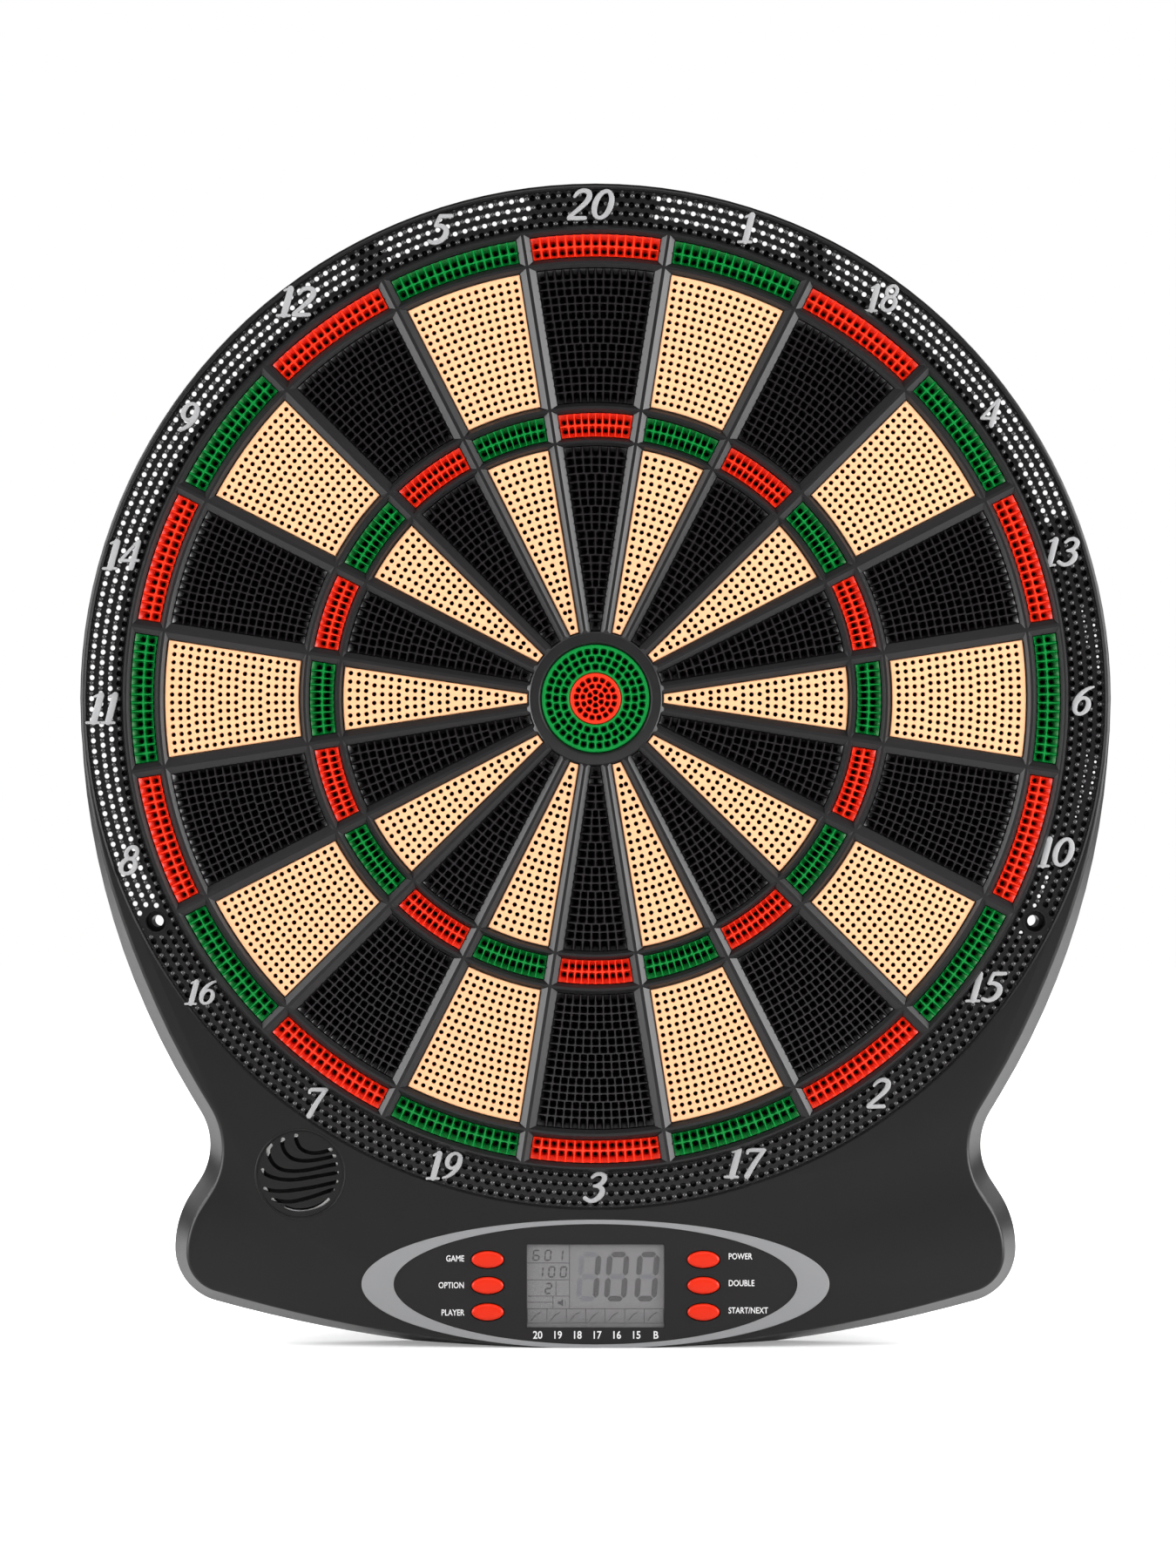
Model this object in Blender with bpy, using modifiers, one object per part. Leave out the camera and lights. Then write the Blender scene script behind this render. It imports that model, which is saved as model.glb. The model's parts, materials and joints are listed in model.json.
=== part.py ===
"""Electronic dartboard: a soft-tip board with an electronic scorer, hung on a wall.

Frame: metres. The front faces -Y, the right of the board is +X and up is +Z. The origin is the
bull's centre on the rear face, so the wall is the plane y = 0. Depths below are distances from
that wall, and a depth d lies at y = -d.
"""

import math

import bmesh
import bpy
from mathutils import Matrix, Vector

MM = 0.001
COLLECTION = "electronic_dartboard"

# ---- driving dimensions -------------------------------------------------------------------------
GAP = 0.3 * MM  # between pieces that touch
FACE_DEPTH = 23.5 * MM  # front face of the housing
WALL = 2.4 * MM  # housing wall
COVER_WALL = 2.2 * MM
CHAMFER = 0.8 * MM  # round the housing's front edge
STEPS = 40  # sides of every circle round the bull
SECTOR_STEPS = 2  # sides of an arc across one sector, in line with those circles

# Scoring rings, as on a 13.5 inch target: the inner and outer radius of each ring's segments.
INNER_BULL_R = 9.5 * MM
OUTER_BULL_R = 20.1 * MM
INNER_SINGLE = (25.5 * MM, 94.2 * MM)
TRIPLE = (97.9 * MM, 106.6 * MM)
OUTER_SINGLE = (110.8 * MM, 160.7 * MM)
DOUBLE = (165.2 * MM, 173.4 * MM)
RINGS = (INNER_SINGLE, TRIPLE, OUTER_SINGLE, DOUBLE)
NUMBERS = (20, 1, 18, 4, 13, 6, 10, 15, 2, 17, 3, 19, 7, 16, 8, 11, 14, 9, 12, 5)
SECTOR = 2 * math.pi / len(NUMBERS)

# The web between the segments: half widths of its radial bars at the segments' faces.
BAR_AT_BULL = 2.4 * MM
BAR_AT_TRIPLE = 3.0 * MM
BAR_AT_DOUBLE = 3.35 * MM
BAR_IN_NARROW_RINGS = 2.8 * MM
RIDGE = 0.6 * MM  # half width of the flat on top of every bar
WEB_R = 176.6 * MM
WEB_BACK = 20.0 * MM
WEB_SLOPE = 23.2 * MM  # depth where the bars' sloped sides begin
WEB_FRONT = 25.3 * MM
WINDOW_CLEARANCE = 0.35 * MM

# Scoring segments, sensor and backing, as depths from the wall.
SEGMENT_FACE = 24.2 * MM
FLANGE_FRONT = 19.6 * MM
FLANGE_BACK = 18.2 * MM
FLANGE_R = (25.9 * MM, 174.0 * MM)
TRAVEL = 1.2 * MM
SENSOR_FRONT = 16.7 * MM
SENSOR_BACK = 16.3 * MM
FOAM_FRONT = 16.0 * MM
FOAM_BACK = 6.5 * MM
RIB_TOP = 6.2 * MM
BACKING_R = 174.5 * MM

# Number ring, which is perforated and part of the housing, and the tube behind it.
RING_R = 190.5 * MM
RING_FRONT = 22.0 * MM
RING_BACK = 20.0 * MM
TUBE_R = (176.9 * MM, 178.9 * MM)
TUBE_BACK = COVER_WALL + 0.4 * MM

# Housing outline at the wall, on the right half from the top down: turn radius, degrees, side.
TOP_R = 194.8 * MM
OUTLINE = (
    ("right", TOP_R, 90.0),
    ("right", 290.0 * MM, 31.0),
    ("ahead", 7.8 * MM, 0.0),
    ("left", 24.0 * MM, 64.0),
    ("ahead", 6.0 * MM, 0.0),
    ("right", 38.0 * MM, 33.0),
    ("right", 21.0 * MM, 74.5),
)
CHIN_TURN = 15.5  # degrees left for the arc along the bottom
ARC_STEP = 9.0  # degrees of a tight turn between two points
FLARE_TOP = 2.2 * MM  # how far the front edge lies inside the rear one
FLARE_FOOT = 6.2 * MM
FLARE_CHIN = 3.4 * MM
FLARE_END_Z = -120 * MM  # the level where the flare is full
FOOT_X = 144 * MM

# Control panel in the foot.
PANEL_Z = -218.7 * MM
PANEL_HALF = (87.4 * MM, 24.1 * MM)
LCD_Z = -219.4 * MM
LCD_HALF = (25.7 * MM, 15.55 * MM)
BUTTON_X = 40.3 * MM
BUTTON_Z = (-209.5 * MM, -219.2 * MM, -229.1 * MM)
BUTTON_HALF = (6.0 * MM, 3.15 * MM)
BUTTON_NAMES = (
    ("game_button", "option_button", "player_button"),
    ("power_button", "double_button", "start_button"),
)
BUTTON_SIDES = 16
BOARD_FRONT = 15.0 * MM
BOARD_BACK = 13.4 * MM
BOARD_HALF_X = 70 * MM
BOARD_Z = (-234.6 * MM, -199.5 * MM)

# Speaker behind its round grille.
SPEAKER = (-110.3 * MM, -177.6 * MM)
GRILLE_R = 16.3 * MM
GRILLE_SLOTS = 7
GRILLE_SLOT_HALF = 0.8 * MM

# Battery compartment for three AA cells, in the rear cover.
BAY_X = (72.2 * MM, 131.8 * MM)
BAY_Z = (-220.7 * MM, -174.7 * MM)
BAY_WALL = 1.2 * MM
BAY_DEPTH = 17.4 * MM
CELL_R = 7.1 * MM
CELL_LENGTH = 50.0 * MM
CELL_PITCH = 15.0 * MM
CELLS = 3
DOOR_FIT = 0.4 * MM
DOOR_BACK = 0.1 * MM
DOOR_FRONT = 2.1 * MM
HINGE_DEPTH = 1.1 * MM
HINGE_Z = BAY_Z[1] - 2.0 * MM
HINGE_PIN_R = 0.5 * MM

# Fixings.
MOUNT_HOLE = (164.4 * MM, -83.3 * MM)
MOUNT_HOLE_R = 2.2 * MM
MOUNT_SLEEVE_R = 4.5 * MM
KEYHOLE_Z = 182.5 * MM
KEYHOLE_R = 4.6 * MM
KEYHOLE_SLOT_HALF = 2.3 * MM
KEYHOLE_TOP = 188.5 * MM
KEYHOLE_ROOM = 9.0 * MM  # depth left free behind the keyhole for a screw's head
HANGING_TAB_R = (172.0 * MM, 191.2 * MM)
HANGING_TAB_HALF = math.radians(7)
TAB_FIT = 0.3 * MM  # gap between the tab and the cover's notch
POST_R = 3.6 * MM
POST_BACK = 6.4 * MM
PILOT_R = 1.8 * MM
CUP_R = 5.0 * MM
CUP_FRONT = 6.0 * MM
HEAD_RECESS_R = 3.4 * MM
HEAD_RECESS = 4.4 * MM
SCREW_HOLE_R = 1.9 * MM
EAR_R = 7.0 * MM  # of the cover's ears behind the number ring
SCREW_RING_R = 184.7 * MM
SCREW_CLOCK = math.radians(27)
EAR_X = SCREW_RING_R * math.sin(SCREW_CLOCK)
EAR_Z = SCREW_RING_R * math.cos(SCREW_CLOCK)
EAR_SCREWS = ((-EAR_X, EAR_Z), (EAR_X, EAR_Z))
FOOT_SCREWS = (
    (-30 * MM, -192 * MM),
    (30 * MM, -192 * MM),
    (-144 * MM, -208 * MM),
    (144 * MM, -208 * MM),
)
SCREWS = (*EAR_SCREWS, *FOOT_SCREWS)
RIB_RADII = (60 * MM, 120 * MM)
RIB_HALF = 0.8 * MM

# ---- materials: colour, metallic, roughness ------------------------------------------------------
BLACK_PLASTIC = ("black_plastic", (0.035, 0.033, 0.032), 0.0, 0.45)
SPIDER_GREY = ("spider_grey", (0.075, 0.073, 0.076), 0.0, 0.42)
RED = ("segment_red", (0.80, 0.045, 0.015), 0.0, 0.4)
GREEN = ("segment_green", (0.01, 0.27, 0.075), 0.0, 0.4)
TAN = ("segment_tan", (0.91, 0.66, 0.38), 0.0, 0.5)
BLACK_SEGMENT = ("segment_black", (0.02, 0.02, 0.02), 0.0, 0.45)
BUTTON_RED = ("button_red", (0.95, 0.08, 0.02), 0.0, 0.45)
SILVER = ("panel_silver", (0.5, 0.5, 0.5), 0.3, 0.4)
CLEAR = ("clear_window", (0.6, 0.62, 0.62), 0.0, 0.1)
LCD_GLASS = ("lcd_glass", (0.36, 0.34, 0.31), 0.0, 0.25)
CIRCUIT_GREEN = ("circuit_board", (0.02, 0.16, 0.06), 0.0, 0.5)
CHIP_BLACK = ("chip_resin", (0.01, 0.01, 0.01), 0.0, 0.3)
RUBBER_GREY = ("keypad_rubber", (0.25, 0.25, 0.26), 0.0, 0.8)
FOAM = ("foam", (0.09, 0.09, 0.1), 0.0, 0.95)
FILM = ("sensor_film", (0.6, 0.6, 0.52), 0.0, 0.3)
PAPER_CONE = ("paper_cone", (0.03, 0.03, 0.03), 0.0, 0.9)
STEEL = ("steel", (0.6, 0.6, 0.6), 1.0, 0.3)
CELL_WRAP = ("battery_wrap", (0.05, 0.12, 0.3), 0.2, 0.35)
WIRE = ("wire_insulation", (0.45, 0.02, 0.02), 0.0, 0.5)


# ---- small tools ---------------------------------------------------------------------------------
def clear_scene():
    """Removes what the file holds, and makes one collection for the parts and one for cutters."""
    for old in list(bpy.data.objects):
        bpy.data.objects.remove(old, do_unlink=True)
    for name in (COLLECTION, "cutters"):
        made = bpy.data.collections.new(name)
        bpy.context.scene.collection.children.link(made)


def material(spec):
    """One Principled material, made once and then shared."""
    name, colour, metallic, roughness = spec
    found = bpy.data.materials.get(name)
    if found:
        return found
    made = bpy.data.materials.new(name)
    made.use_nodes = True
    shader = made.node_tree.nodes["Principled BSDF"]
    shader.inputs["Base Color"].default_value = (*colour, 1.0)
    shader.inputs["Metallic"].default_value = metallic
    shader.inputs["Roughness"].default_value = roughness
    return made


def as_part(name, mesh, spec):
    """A part: a named object in the part collection, with its own material."""
    part = bpy.data.objects.new(name, mesh)
    bpy.data.collections[COLLECTION].objects.link(part)
    mesh.materials.clear()
    mesh.materials.append(material(spec))
    return part


def as_cutter(name, mesh):
    """A helper solid, kept out of the model."""
    cutter = bpy.data.objects.new(name, mesh)
    bpy.data.collections["cutters"].objects.link(cutter)
    cutter.hide_render = True
    cutter.display_type = "WIRE"
    return cutter


def finished_mesh(obj, name):
    """The object's mesh as its modifiers leave it, as a mesh of its own."""
    bpy.context.view_layer.update()
    evaluated = obj.evaluated_get(bpy.context.evaluated_depsgraph_get())
    mesh = bpy.data.meshes.new_from_object(evaluated)
    mesh.name = name
    mesh.transform(obj.matrix_world)
    return mesh


def welded(mesh):
    """Joins the loose caps and seams of a mesh made from a curve or a screw."""
    work = bmesh.new()
    work.from_mesh(mesh)
    bmesh.ops.remove_doubles(work, verts=work.verts, dist=1e-6)
    bmesh.ops.recalc_face_normals(work, faces=work.faces)
    work.to_mesh(mesh)
    work.free()
    return mesh


def slab(name, outlines, front, back):
    """A flat plate from depth front to depth back. The first outline is its rim, the rest are holes."""
    curve = bpy.data.curves.new(name, "CURVE")
    curve.dimensions = "2D"
    curve.fill_mode = "BOTH"
    curve.extrude = (front - back) / 2
    for outline in outlines:
        spline = curve.splines.new("POLY")
        spline.points.add(len(outline) - 1)
        spline.use_cyclic_u = True
        for point, (x, z) in zip(spline.points, outline):
            point.co = (x, z, 0, 1)
    drawn = bpy.data.objects.new(name, curve)
    bpy.context.scene.collection.objects.link(drawn)
    middle = Matrix.Translation((0, -(front + back) / 2, 0))
    drawn.matrix_world = middle @ Matrix.Rotation(math.pi / 2, 4, "X")
    mesh = welded(finished_mesh(drawn, name))
    bpy.data.objects.remove(drawn, do_unlink=True)
    return mesh


def loft(name, sections):
    """A solid through outlines of equal length, each at its own depth, from front to back."""
    work = bmesh.new()
    rings = [[work.verts.new((x, -depth, z)) for x, z in outline] for outline, depth in sections]
    for upper, lower in zip(rings, rings[1:]):
        for i in range(len(upper)):
            j = (i + 1) % len(upper)
            work.faces.new((upper[i], upper[j], lower[j], lower[i]))
    work.faces.new(rings[0])
    work.faces.new(rings[-1])
    bmesh.ops.recalc_face_normals(work, faces=work.faces)
    mesh = bpy.data.meshes.new(name)
    work.to_mesh(mesh)
    work.free()
    return mesh


def rod(name, x, z, radius, front, back, sides=24):
    """A round bar along Y."""
    work = bmesh.new()
    place = Matrix.Translation((x, -(front + back) / 2, z)) @ Matrix.Rotation(math.pi / 2, 4, "X")
    bmesh.ops.create_cone(
        work, cap_ends=True, segments=sides, radius1=radius, radius2=radius, depth=front - back, matrix=place
    )
    mesh = bpy.data.meshes.new(name)
    work.to_mesh(mesh)
    work.free()
    return mesh


def rod_across(name, x_range, y, z, radius, sides):
    """A round bar along X."""
    work = bmesh.new()
    place = Matrix.Translation((sum(x_range) / 2, y, z)) @ Matrix.Rotation(math.pi / 2, 4, "Y")
    bmesh.ops.create_cone(
        work,
        cap_ends=True,
        segments=sides,
        radius1=radius,
        radius2=radius,
        depth=x_range[1] - x_range[0],
        matrix=place,
    )
    mesh = bpy.data.meshes.new(name)
    work.to_mesh(mesh)
    work.free()
    return mesh


def block(name, x_range, z_range, front, back):
    """A box between two values of x, two of z and two depths."""
    work = bmesh.new()
    size = (x_range[1] - x_range[0], front - back, z_range[1] - z_range[0])
    centre = (sum(x_range) / 2, -(front + back) / 2, sum(z_range) / 2)
    place = Matrix.Translation(centre) @ Matrix.Diagonal((*size, 1))
    bmesh.ops.create_cube(work, size=1, matrix=place)
    mesh = bpy.data.meshes.new(name)
    work.to_mesh(mesh)
    work.free()
    return mesh


def turned(name, profile, steps=STEPS, centre=(0.0, 0.0)):
    """A ring or disc turned round an axis along Y. The profile holds (radius, depth) pairs, down its
    outer side from front to back, and closes on itself unless both of its ends are on the axis."""
    on_axis = profile[0][0] == 0 and profile[-1][0] == 0
    edges = [(i, i + 1) for i in range(len(profile) - 1)]
    if not on_axis:
        edges.append((len(profile) - 1, 0))
    outline = bpy.data.meshes.new(name)
    outline.from_pydata([(radius, 0, depth) for radius, depth in profile], edges, [])
    spun = bpy.data.objects.new(name, outline)
    bpy.context.scene.collection.objects.link(spun)
    screw = spun.modifiers.new("turn", "SCREW")
    screw.axis = "Z"
    screw.steps = steps
    screw.render_steps = steps
    screw.use_merge_vertices = True
    screw.merge_threshold = 1e-6
    spun.matrix_world = Matrix.Translation((centre[0], 0, centre[1])) @ Matrix.Rotation(math.pi / 2, 4, "X")
    mesh = welded(finished_mesh(spun, name))
    bpy.data.objects.remove(spun, do_unlink=True)
    return mesh


def tube_along(name, route, radius):
    """A wire along a list of points."""
    curve = bpy.data.curves.new(name, "CURVE")
    curve.dimensions = "3D"
    curve.bevel_depth = radius
    curve.bevel_resolution = 2
    curve.use_fill_caps = True
    spline = curve.splines.new("POLY")
    spline.points.add(len(route) - 1)
    for point, place in zip(spline.points, route):
        point.co = (*place, 1)
    drawn = bpy.data.objects.new(name, curve)
    bpy.context.scene.collection.objects.link(drawn)
    mesh = welded(finished_mesh(drawn, name))
    bpy.data.objects.remove(drawn, do_unlink=True)
    return mesh


def combine(part, operation, meshes, solver="EXACT"):
    """Cuts the meshes out of the part, or joins them to it, one after another. The housing and the
    cover use the MANIFOLD solver, because EXACT leaves slits in their many-sided flat faces."""
    for i, mesh in enumerate(meshes):
        cutter = as_cutter(f"{part.name}_{operation.lower()}_{i}_{len(part.modifiers)}", mesh)
        boolean = part.modifiers.new(f"{operation.lower()}_{len(part.modifiers)}", "BOOLEAN")
        boolean.operation = operation
        boolean.object = cutter
        boolean.solver = solver


def smooth_round(part, degrees=30):
    """Shades round pieces smooth, with their corners kept sharp."""
    part.data.shade_smooth()
    part.data.set_sharp_from_angle(angle=math.radians(degrees))


# ---- outlines ------------------------------------------------------------------------------------
def circle(radius, centre=(0.0, 0.0), sides=STEPS):
    """Points round a circle, the first one at its right."""
    turns = [2 * math.pi * i / sides for i in range(sides)]
    return [(centre[0] + radius * math.cos(a), centre[1] + radius * math.sin(a)) for a in turns]


def ellipse(half, centre, sides):
    """Points round an ellipse, whose half sizes are across and up."""
    turns = [2 * math.pi * i / sides for i in range(sides)]
    return [(centre[0] + half[0] * math.cos(a), centre[1] + half[1] * math.sin(a)) for a in turns]


def rectangle(x_range, z_range):
    """The four corners of an upright rectangle."""
    return [
        (x_range[0], z_range[0]),
        (x_range[1], z_range[0]),
        (x_range[1], z_range[1]),
        (x_range[0], z_range[1]),
    ]


def half_outline():
    """The housing's outline at the wall, from the top round the right side to the bottom, and the
    outward direction at each point."""
    place = Vector((0.0, TOP_R))
    heading = 0.0
    points = [(place.copy(), heading)]
    for side, size, turn in OUTLINE:
        if side == "ahead":
            place += size * Vector((math.cos(heading), -math.sin(heading)))
            points.append((place.copy(), heading))
            continue
        sign = 1 if side == "right" else -1
        steps = max(2, math.ceil(turn / ARC_STEP))
        inward = sign * Vector((-math.sin(heading), -math.cos(heading)))
        centre = place + size * inward
        start = heading
        for i in range(1, steps + 1):
            heading = start + sign * math.radians(turn) * i / steps
            place = centre - size * sign * Vector((-math.sin(heading), -math.cos(heading)))
            points.append((place.copy(), heading))
    chin_r = place.x / math.sin(math.radians(CHIN_TURN))
    centre = Vector((0.0, place.y + chin_r * math.cos(math.radians(CHIN_TURN))))
    steps = 5
    for i in range(1, steps + 1):
        left = math.radians(CHIN_TURN) * (1 - i / steps)
        place = centre + chin_r * Vector((math.sin(left), -math.cos(left)))
        points.append((place.copy(), math.pi - left))
    return [(p, Vector((math.sin(h), math.cos(h)))) for p, h in points]


def flare(x, z):
    """How far the front edge lies inside the rear edge at a point of the outline."""
    level = min(1.0, max(0.0, z / FLARE_END_Z))
    full = FLARE_TOP + (FLARE_FOOT - FLARE_TOP) * level * level * (3 - 2 * level)
    if z > PANEL_Z:
        return full
    along = min(1.0, abs(x) / FOOT_X)
    return FLARE_CHIN + (full - FLARE_CHIN) * along


def housing_outline(depth_share, inset=0.0):
    """The outline at a share of the way from the wall to the front face, moved inwards by inset."""
    right = []
    for place, outward in half_outline():
        moved = place - outward * (flare(place.x, place.y) * depth_share + inset)
        right.append((moved.x, moved.y))
    left = [(-x, z) for x, z in reversed(right[1:-1])]
    return right + left


def bar_half_width(radius, ring):
    """Half the width of a radial bar of the web, at a radius within a ring."""
    if ring in (TRIPLE, DOUBLE):
        return BAR_IN_NARROW_RINGS
    if ring is OUTER_SINGLE:
        return BAR_AT_DOUBLE
    share = (radius - INNER_SINGLE[0]) / (INNER_SINGLE[1] - INNER_SINGLE[0])
    return BAR_AT_BULL + (BAR_AT_TRIPLE - BAR_AT_BULL) * share


def wedge(inner, outer, inner_half, outer_half, steps):
    """Part of a ring round the top of the board, from angle -half to +half at each radius."""
    points = []
    for i in range(steps + 1):
        angle = outer_half * (1 - 2 * i / steps)
        points.append((outer * math.sin(angle), outer * math.cos(angle)))
    for i in range(steps + 1):
        angle = inner_half * (2 * i / steps - 1)
        points.append((inner * math.sin(angle), inner * math.cos(angle)))
    return points


def segment_outline(ring, grow=0.0):
    """One scoring segment of a ring, in the sector at the top of the board."""
    inner = ring[0] - grow
    outer = ring[1] + grow
    halves = [SECTOR / 2 - math.asin((bar_half_width(r, ring) - grow) / r) for r in (inner, outer)]
    return wedge(inner, outer, halves[0], halves[1], SECTOR_STEPS)


def mouth_outline(ring):
    """The front of the web's window for a segment: it reaches to the ridges round it."""
    edges = [(OUTER_BULL_R + INNER_SINGLE[0]) / 2]
    edges += [(a[1] + b[0]) / 2 for a, b in zip(RINGS, RINGS[1:])]
    edges += [WEB_R - 1.0 * MM]
    i = RINGS.index(ring)
    inner = edges[i] + RIDGE
    outer = edges[i + 1] - RIDGE
    halves = [SECTOR / 2 - math.asin(RIDGE / r) for r in (inner, outer)]
    return wedge(inner, outer, halves[0], halves[1], SECTOR_STEPS)


def turned_about_bull(mesh, angle):
    """A copy of a mesh, turned clockwise round the bull."""
    copy = mesh.copy()
    copy.transform(Matrix.Rotation(angle, 4, "Y"))
    return copy


# ---- the target ----------------------------------------------------------------------------------
def joined_meshes(name, meshes):
    """Several separate closed shapes as one cutter."""
    work = bmesh.new()
    for mesh in meshes:
        work.from_mesh(mesh)
    made = bpy.data.meshes.new(name)
    work.to_mesh(made)
    work.free()
    return made


def make_web():
    """The spider web: one moulding with a window for each scoring segment."""
    depths = (WEB_FRONT + 0.2 * MM, WEB_SLOPE, WEB_BACK - 1 * MM)
    windows = []
    for ring in RINGS:
        throat = segment_outline(ring, WINDOW_CLEARANCE)
        window = loft("window", ((mouth_outline(ring), depths[0]), (throat, depths[1]), (throat, depths[2])))
        windows += [turned_about_bull(window, SECTOR * i) for i in range(len(NUMBERS))]
    disc = rod("spider_web", 0, 0, WEB_R, WEB_FRONT, WEB_BACK, STEPS)
    web = as_part("spider_web", disc, SPIDER_GREY)
    hole_r = OUTER_BULL_R + WINDOW_CLEARANCE
    mouth_r = hole_r + 1.6 * MM
    bull_window = turned(
        "bull_window",
        ((0, depths[0]), (mouth_r, depths[0]), (hole_r, depths[1]), (hole_r, depths[2]), (0, depths[2])),
    )
    combine(web, "DIFFERENCE", [joined_meshes("web_windows", [*windows, bull_window])])


def make_segments():
    """Each number's scoring segments on their shared flange, which presses the sensor film."""
    flange_half = [SECTOR / 2 - math.asin(0.5 * GAP / r) for r in FLANGE_R]
    flange = wedge(*FLANGE_R, *flange_half, SECTOR_STEPS)
    blank = as_cutter("segment_blank", slab("segment_blank", [flange], FLANGE_FRONT, FLANGE_BACK))
    raised = [
        slab("raised", [segment_outline(ring)], SEGMENT_FACE, FLANGE_FRONT - 0.4 * MM) for ring in RINGS
    ]
    combine(blank, "UNION", raised)
    shape = finished_mesh(blank, "segments")
    for i, number in enumerate(NUMBERS):
        part = as_part(f"segments_{number}", shape.copy(), BLACK_SEGMENT if i % 2 == 0 else TAN)
        part.rotation_euler = (0, SECTOR * i, 0)


def make_bulls():
    """The two bull segments, one sliding inside the other, each with a flange at its back."""
    inner_flange = INNER_BULL_R + 1.5 * MM
    bore = inner_flange + 0.4 * MM
    outer_flange = FLANGE_R[0] - 0.5 * MM
    inner = (
        (0, SEGMENT_FACE),
        (INNER_BULL_R, SEGMENT_FACE),
        (INNER_BULL_R, FLANGE_FRONT),
        (inner_flange, FLANGE_FRONT),
        (inner_flange, FLANGE_BACK),
        (0, FLANGE_BACK),
    )
    outer = (
        (OUTER_BULL_R, SEGMENT_FACE),
        (OUTER_BULL_R, FLANGE_FRONT),
        (outer_flange, FLANGE_FRONT),
        (outer_flange, FLANGE_BACK),
        (bore, FLANGE_BACK),
        (bore, FLANGE_FRONT + TRAVEL + GAP),
        (INNER_BULL_R + 0.4 * MM, FLANGE_FRONT + TRAVEL + GAP),
        (INNER_BULL_R + 0.4 * MM, SEGMENT_FACE),
    )
    for name, profile, spec in (("inner_bull", inner, RED), ("outer_bull", outer, GREEN)):
        smooth_round(as_part(name, turned(name, profile, 40), spec))


def make_backing():
    """The sensor film that the segments press, its tail to the circuit board, and the foam."""
    film = slab("sensor_membrane", [circle(BACKING_R)], SENSOR_FRONT, SENSOR_BACK)
    as_part("sensor_membrane", film, FILM)
    foam = slab("foam_pad", [circle(BACKING_R)], FOAM_FRONT, FOAM_BACK)
    as_part("foam_pad", foam, FOAM)
    tail_top = -BACKING_R - GAP
    tail = block("membrane_tail", (-7 * MM, 7 * MM), (-205 * MM, tail_top), SENSOR_FRONT, SENSOR_BACK)
    as_part("membrane_tail", tail, FILM)


# ---- housing and rear cover ----------------------------------------------------------------------
def grille_slots():
    """Level slots across the speaker grille, each as long as its circle leaves."""
    reach = GRILLE_R - 1.2 * MM
    pitch = 2 * reach / GRILLE_SLOTS
    slots = []
    for i in range(GRILLE_SLOTS):
        level = (i - (GRILLE_SLOTS - 1) / 2) * pitch
        half = math.sqrt(reach**2 - level**2)
        x_range = (SPEAKER[0] - half, SPEAKER[0] + half)
        z_range = (SPEAKER[1] + level - GRILLE_SLOT_HALF, SPEAKER[1] + level + GRILLE_SLOT_HALF)
        slots.append(block("slot", x_range, z_range, FACE_DEPTH + MM, FACE_DEPTH - WALL - MM))
    return slots


def number_ring():
    """The number ring with the tube behind its inner edge, which reaches back to the cover."""
    front = FACE_DEPTH - 0.5 * MM
    profile = (
        (RING_R + 0.6 * MM, front),
        (RING_R + 0.6 * MM, RING_BACK),
        (TUBE_R[1], RING_BACK),
        (TUBE_R[1], TUBE_BACK),
        (TUBE_R[0], TUBE_BACK),
        (TUBE_R[0], front),
    )
    return turned("number_ring", profile)


def housing_posts():
    """Posts for the cover's screws and sleeves round the wall screws."""
    posts = [rod("post", x, z, POST_R, FACE_DEPTH - WALL + 0.5 * MM, POST_BACK, 16) for x, z in FOOT_SCREWS]
    posts += [rod("post", x, z, POST_R, RING_BACK + 0.5 * MM, POST_BACK, 16) for x, z in EAR_SCREWS]
    for side in (-1, 1):
        x, z = side * MOUNT_HOLE[0], MOUNT_HOLE[1]
        posts.append(rod("sleeve", x, z, MOUNT_SLEEVE_R, RING_BACK + 0.5 * MM, 0.0, 16))
    return posts


def housing_openings():
    """Every opening of the housing: screw holes, speaker slots, display, buttons, keyhole room and
    the slot for the sensor's tail."""
    beyond = FACE_DEPTH + MM
    behind = FACE_DEPTH - WALL - MM
    cuts = [rod("pilot", x, z, PILOT_R, 18 * MM, POST_BACK - 1.4 * MM, 10) for x, z in SCREWS]
    cuts += grille_slots()
    display_x = (-LCD_HALF[0] - GAP, LCD_HALF[0] + GAP)
    display_z = (LCD_Z - LCD_HALF[1] - GAP, LCD_Z + LCD_HALF[1] + GAP)
    cuts.append(block("display", display_x, display_z, beyond, behind))
    fit = (BUTTON_HALF[0] + GAP, BUTTON_HALF[1] + GAP)
    for side in (-1, 1):
        cuts.append(rod("hole", side * MOUNT_HOLE[0], MOUNT_HOLE[1], MOUNT_HOLE_R, beyond, -MM, 16))
        for z in BUTTON_Z:
            outline = ellipse(fit, (side * BUTTON_X, z), BUTTON_SIDES)
            cuts.append(slab("button_hole", [outline], beyond, behind))
    cuts.append(block("tail_slot", (-9 * MM, 9 * MM), (-182 * MM, -174 * MM), 18 * MM, 15 * MM))
    cuts.append(block("keyhole_room", (-6 * MM, 6 * MM), (174 * MM, 180 * MM), KEYHOLE_ROOM, TUBE_BACK - MM))
    return cuts


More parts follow.
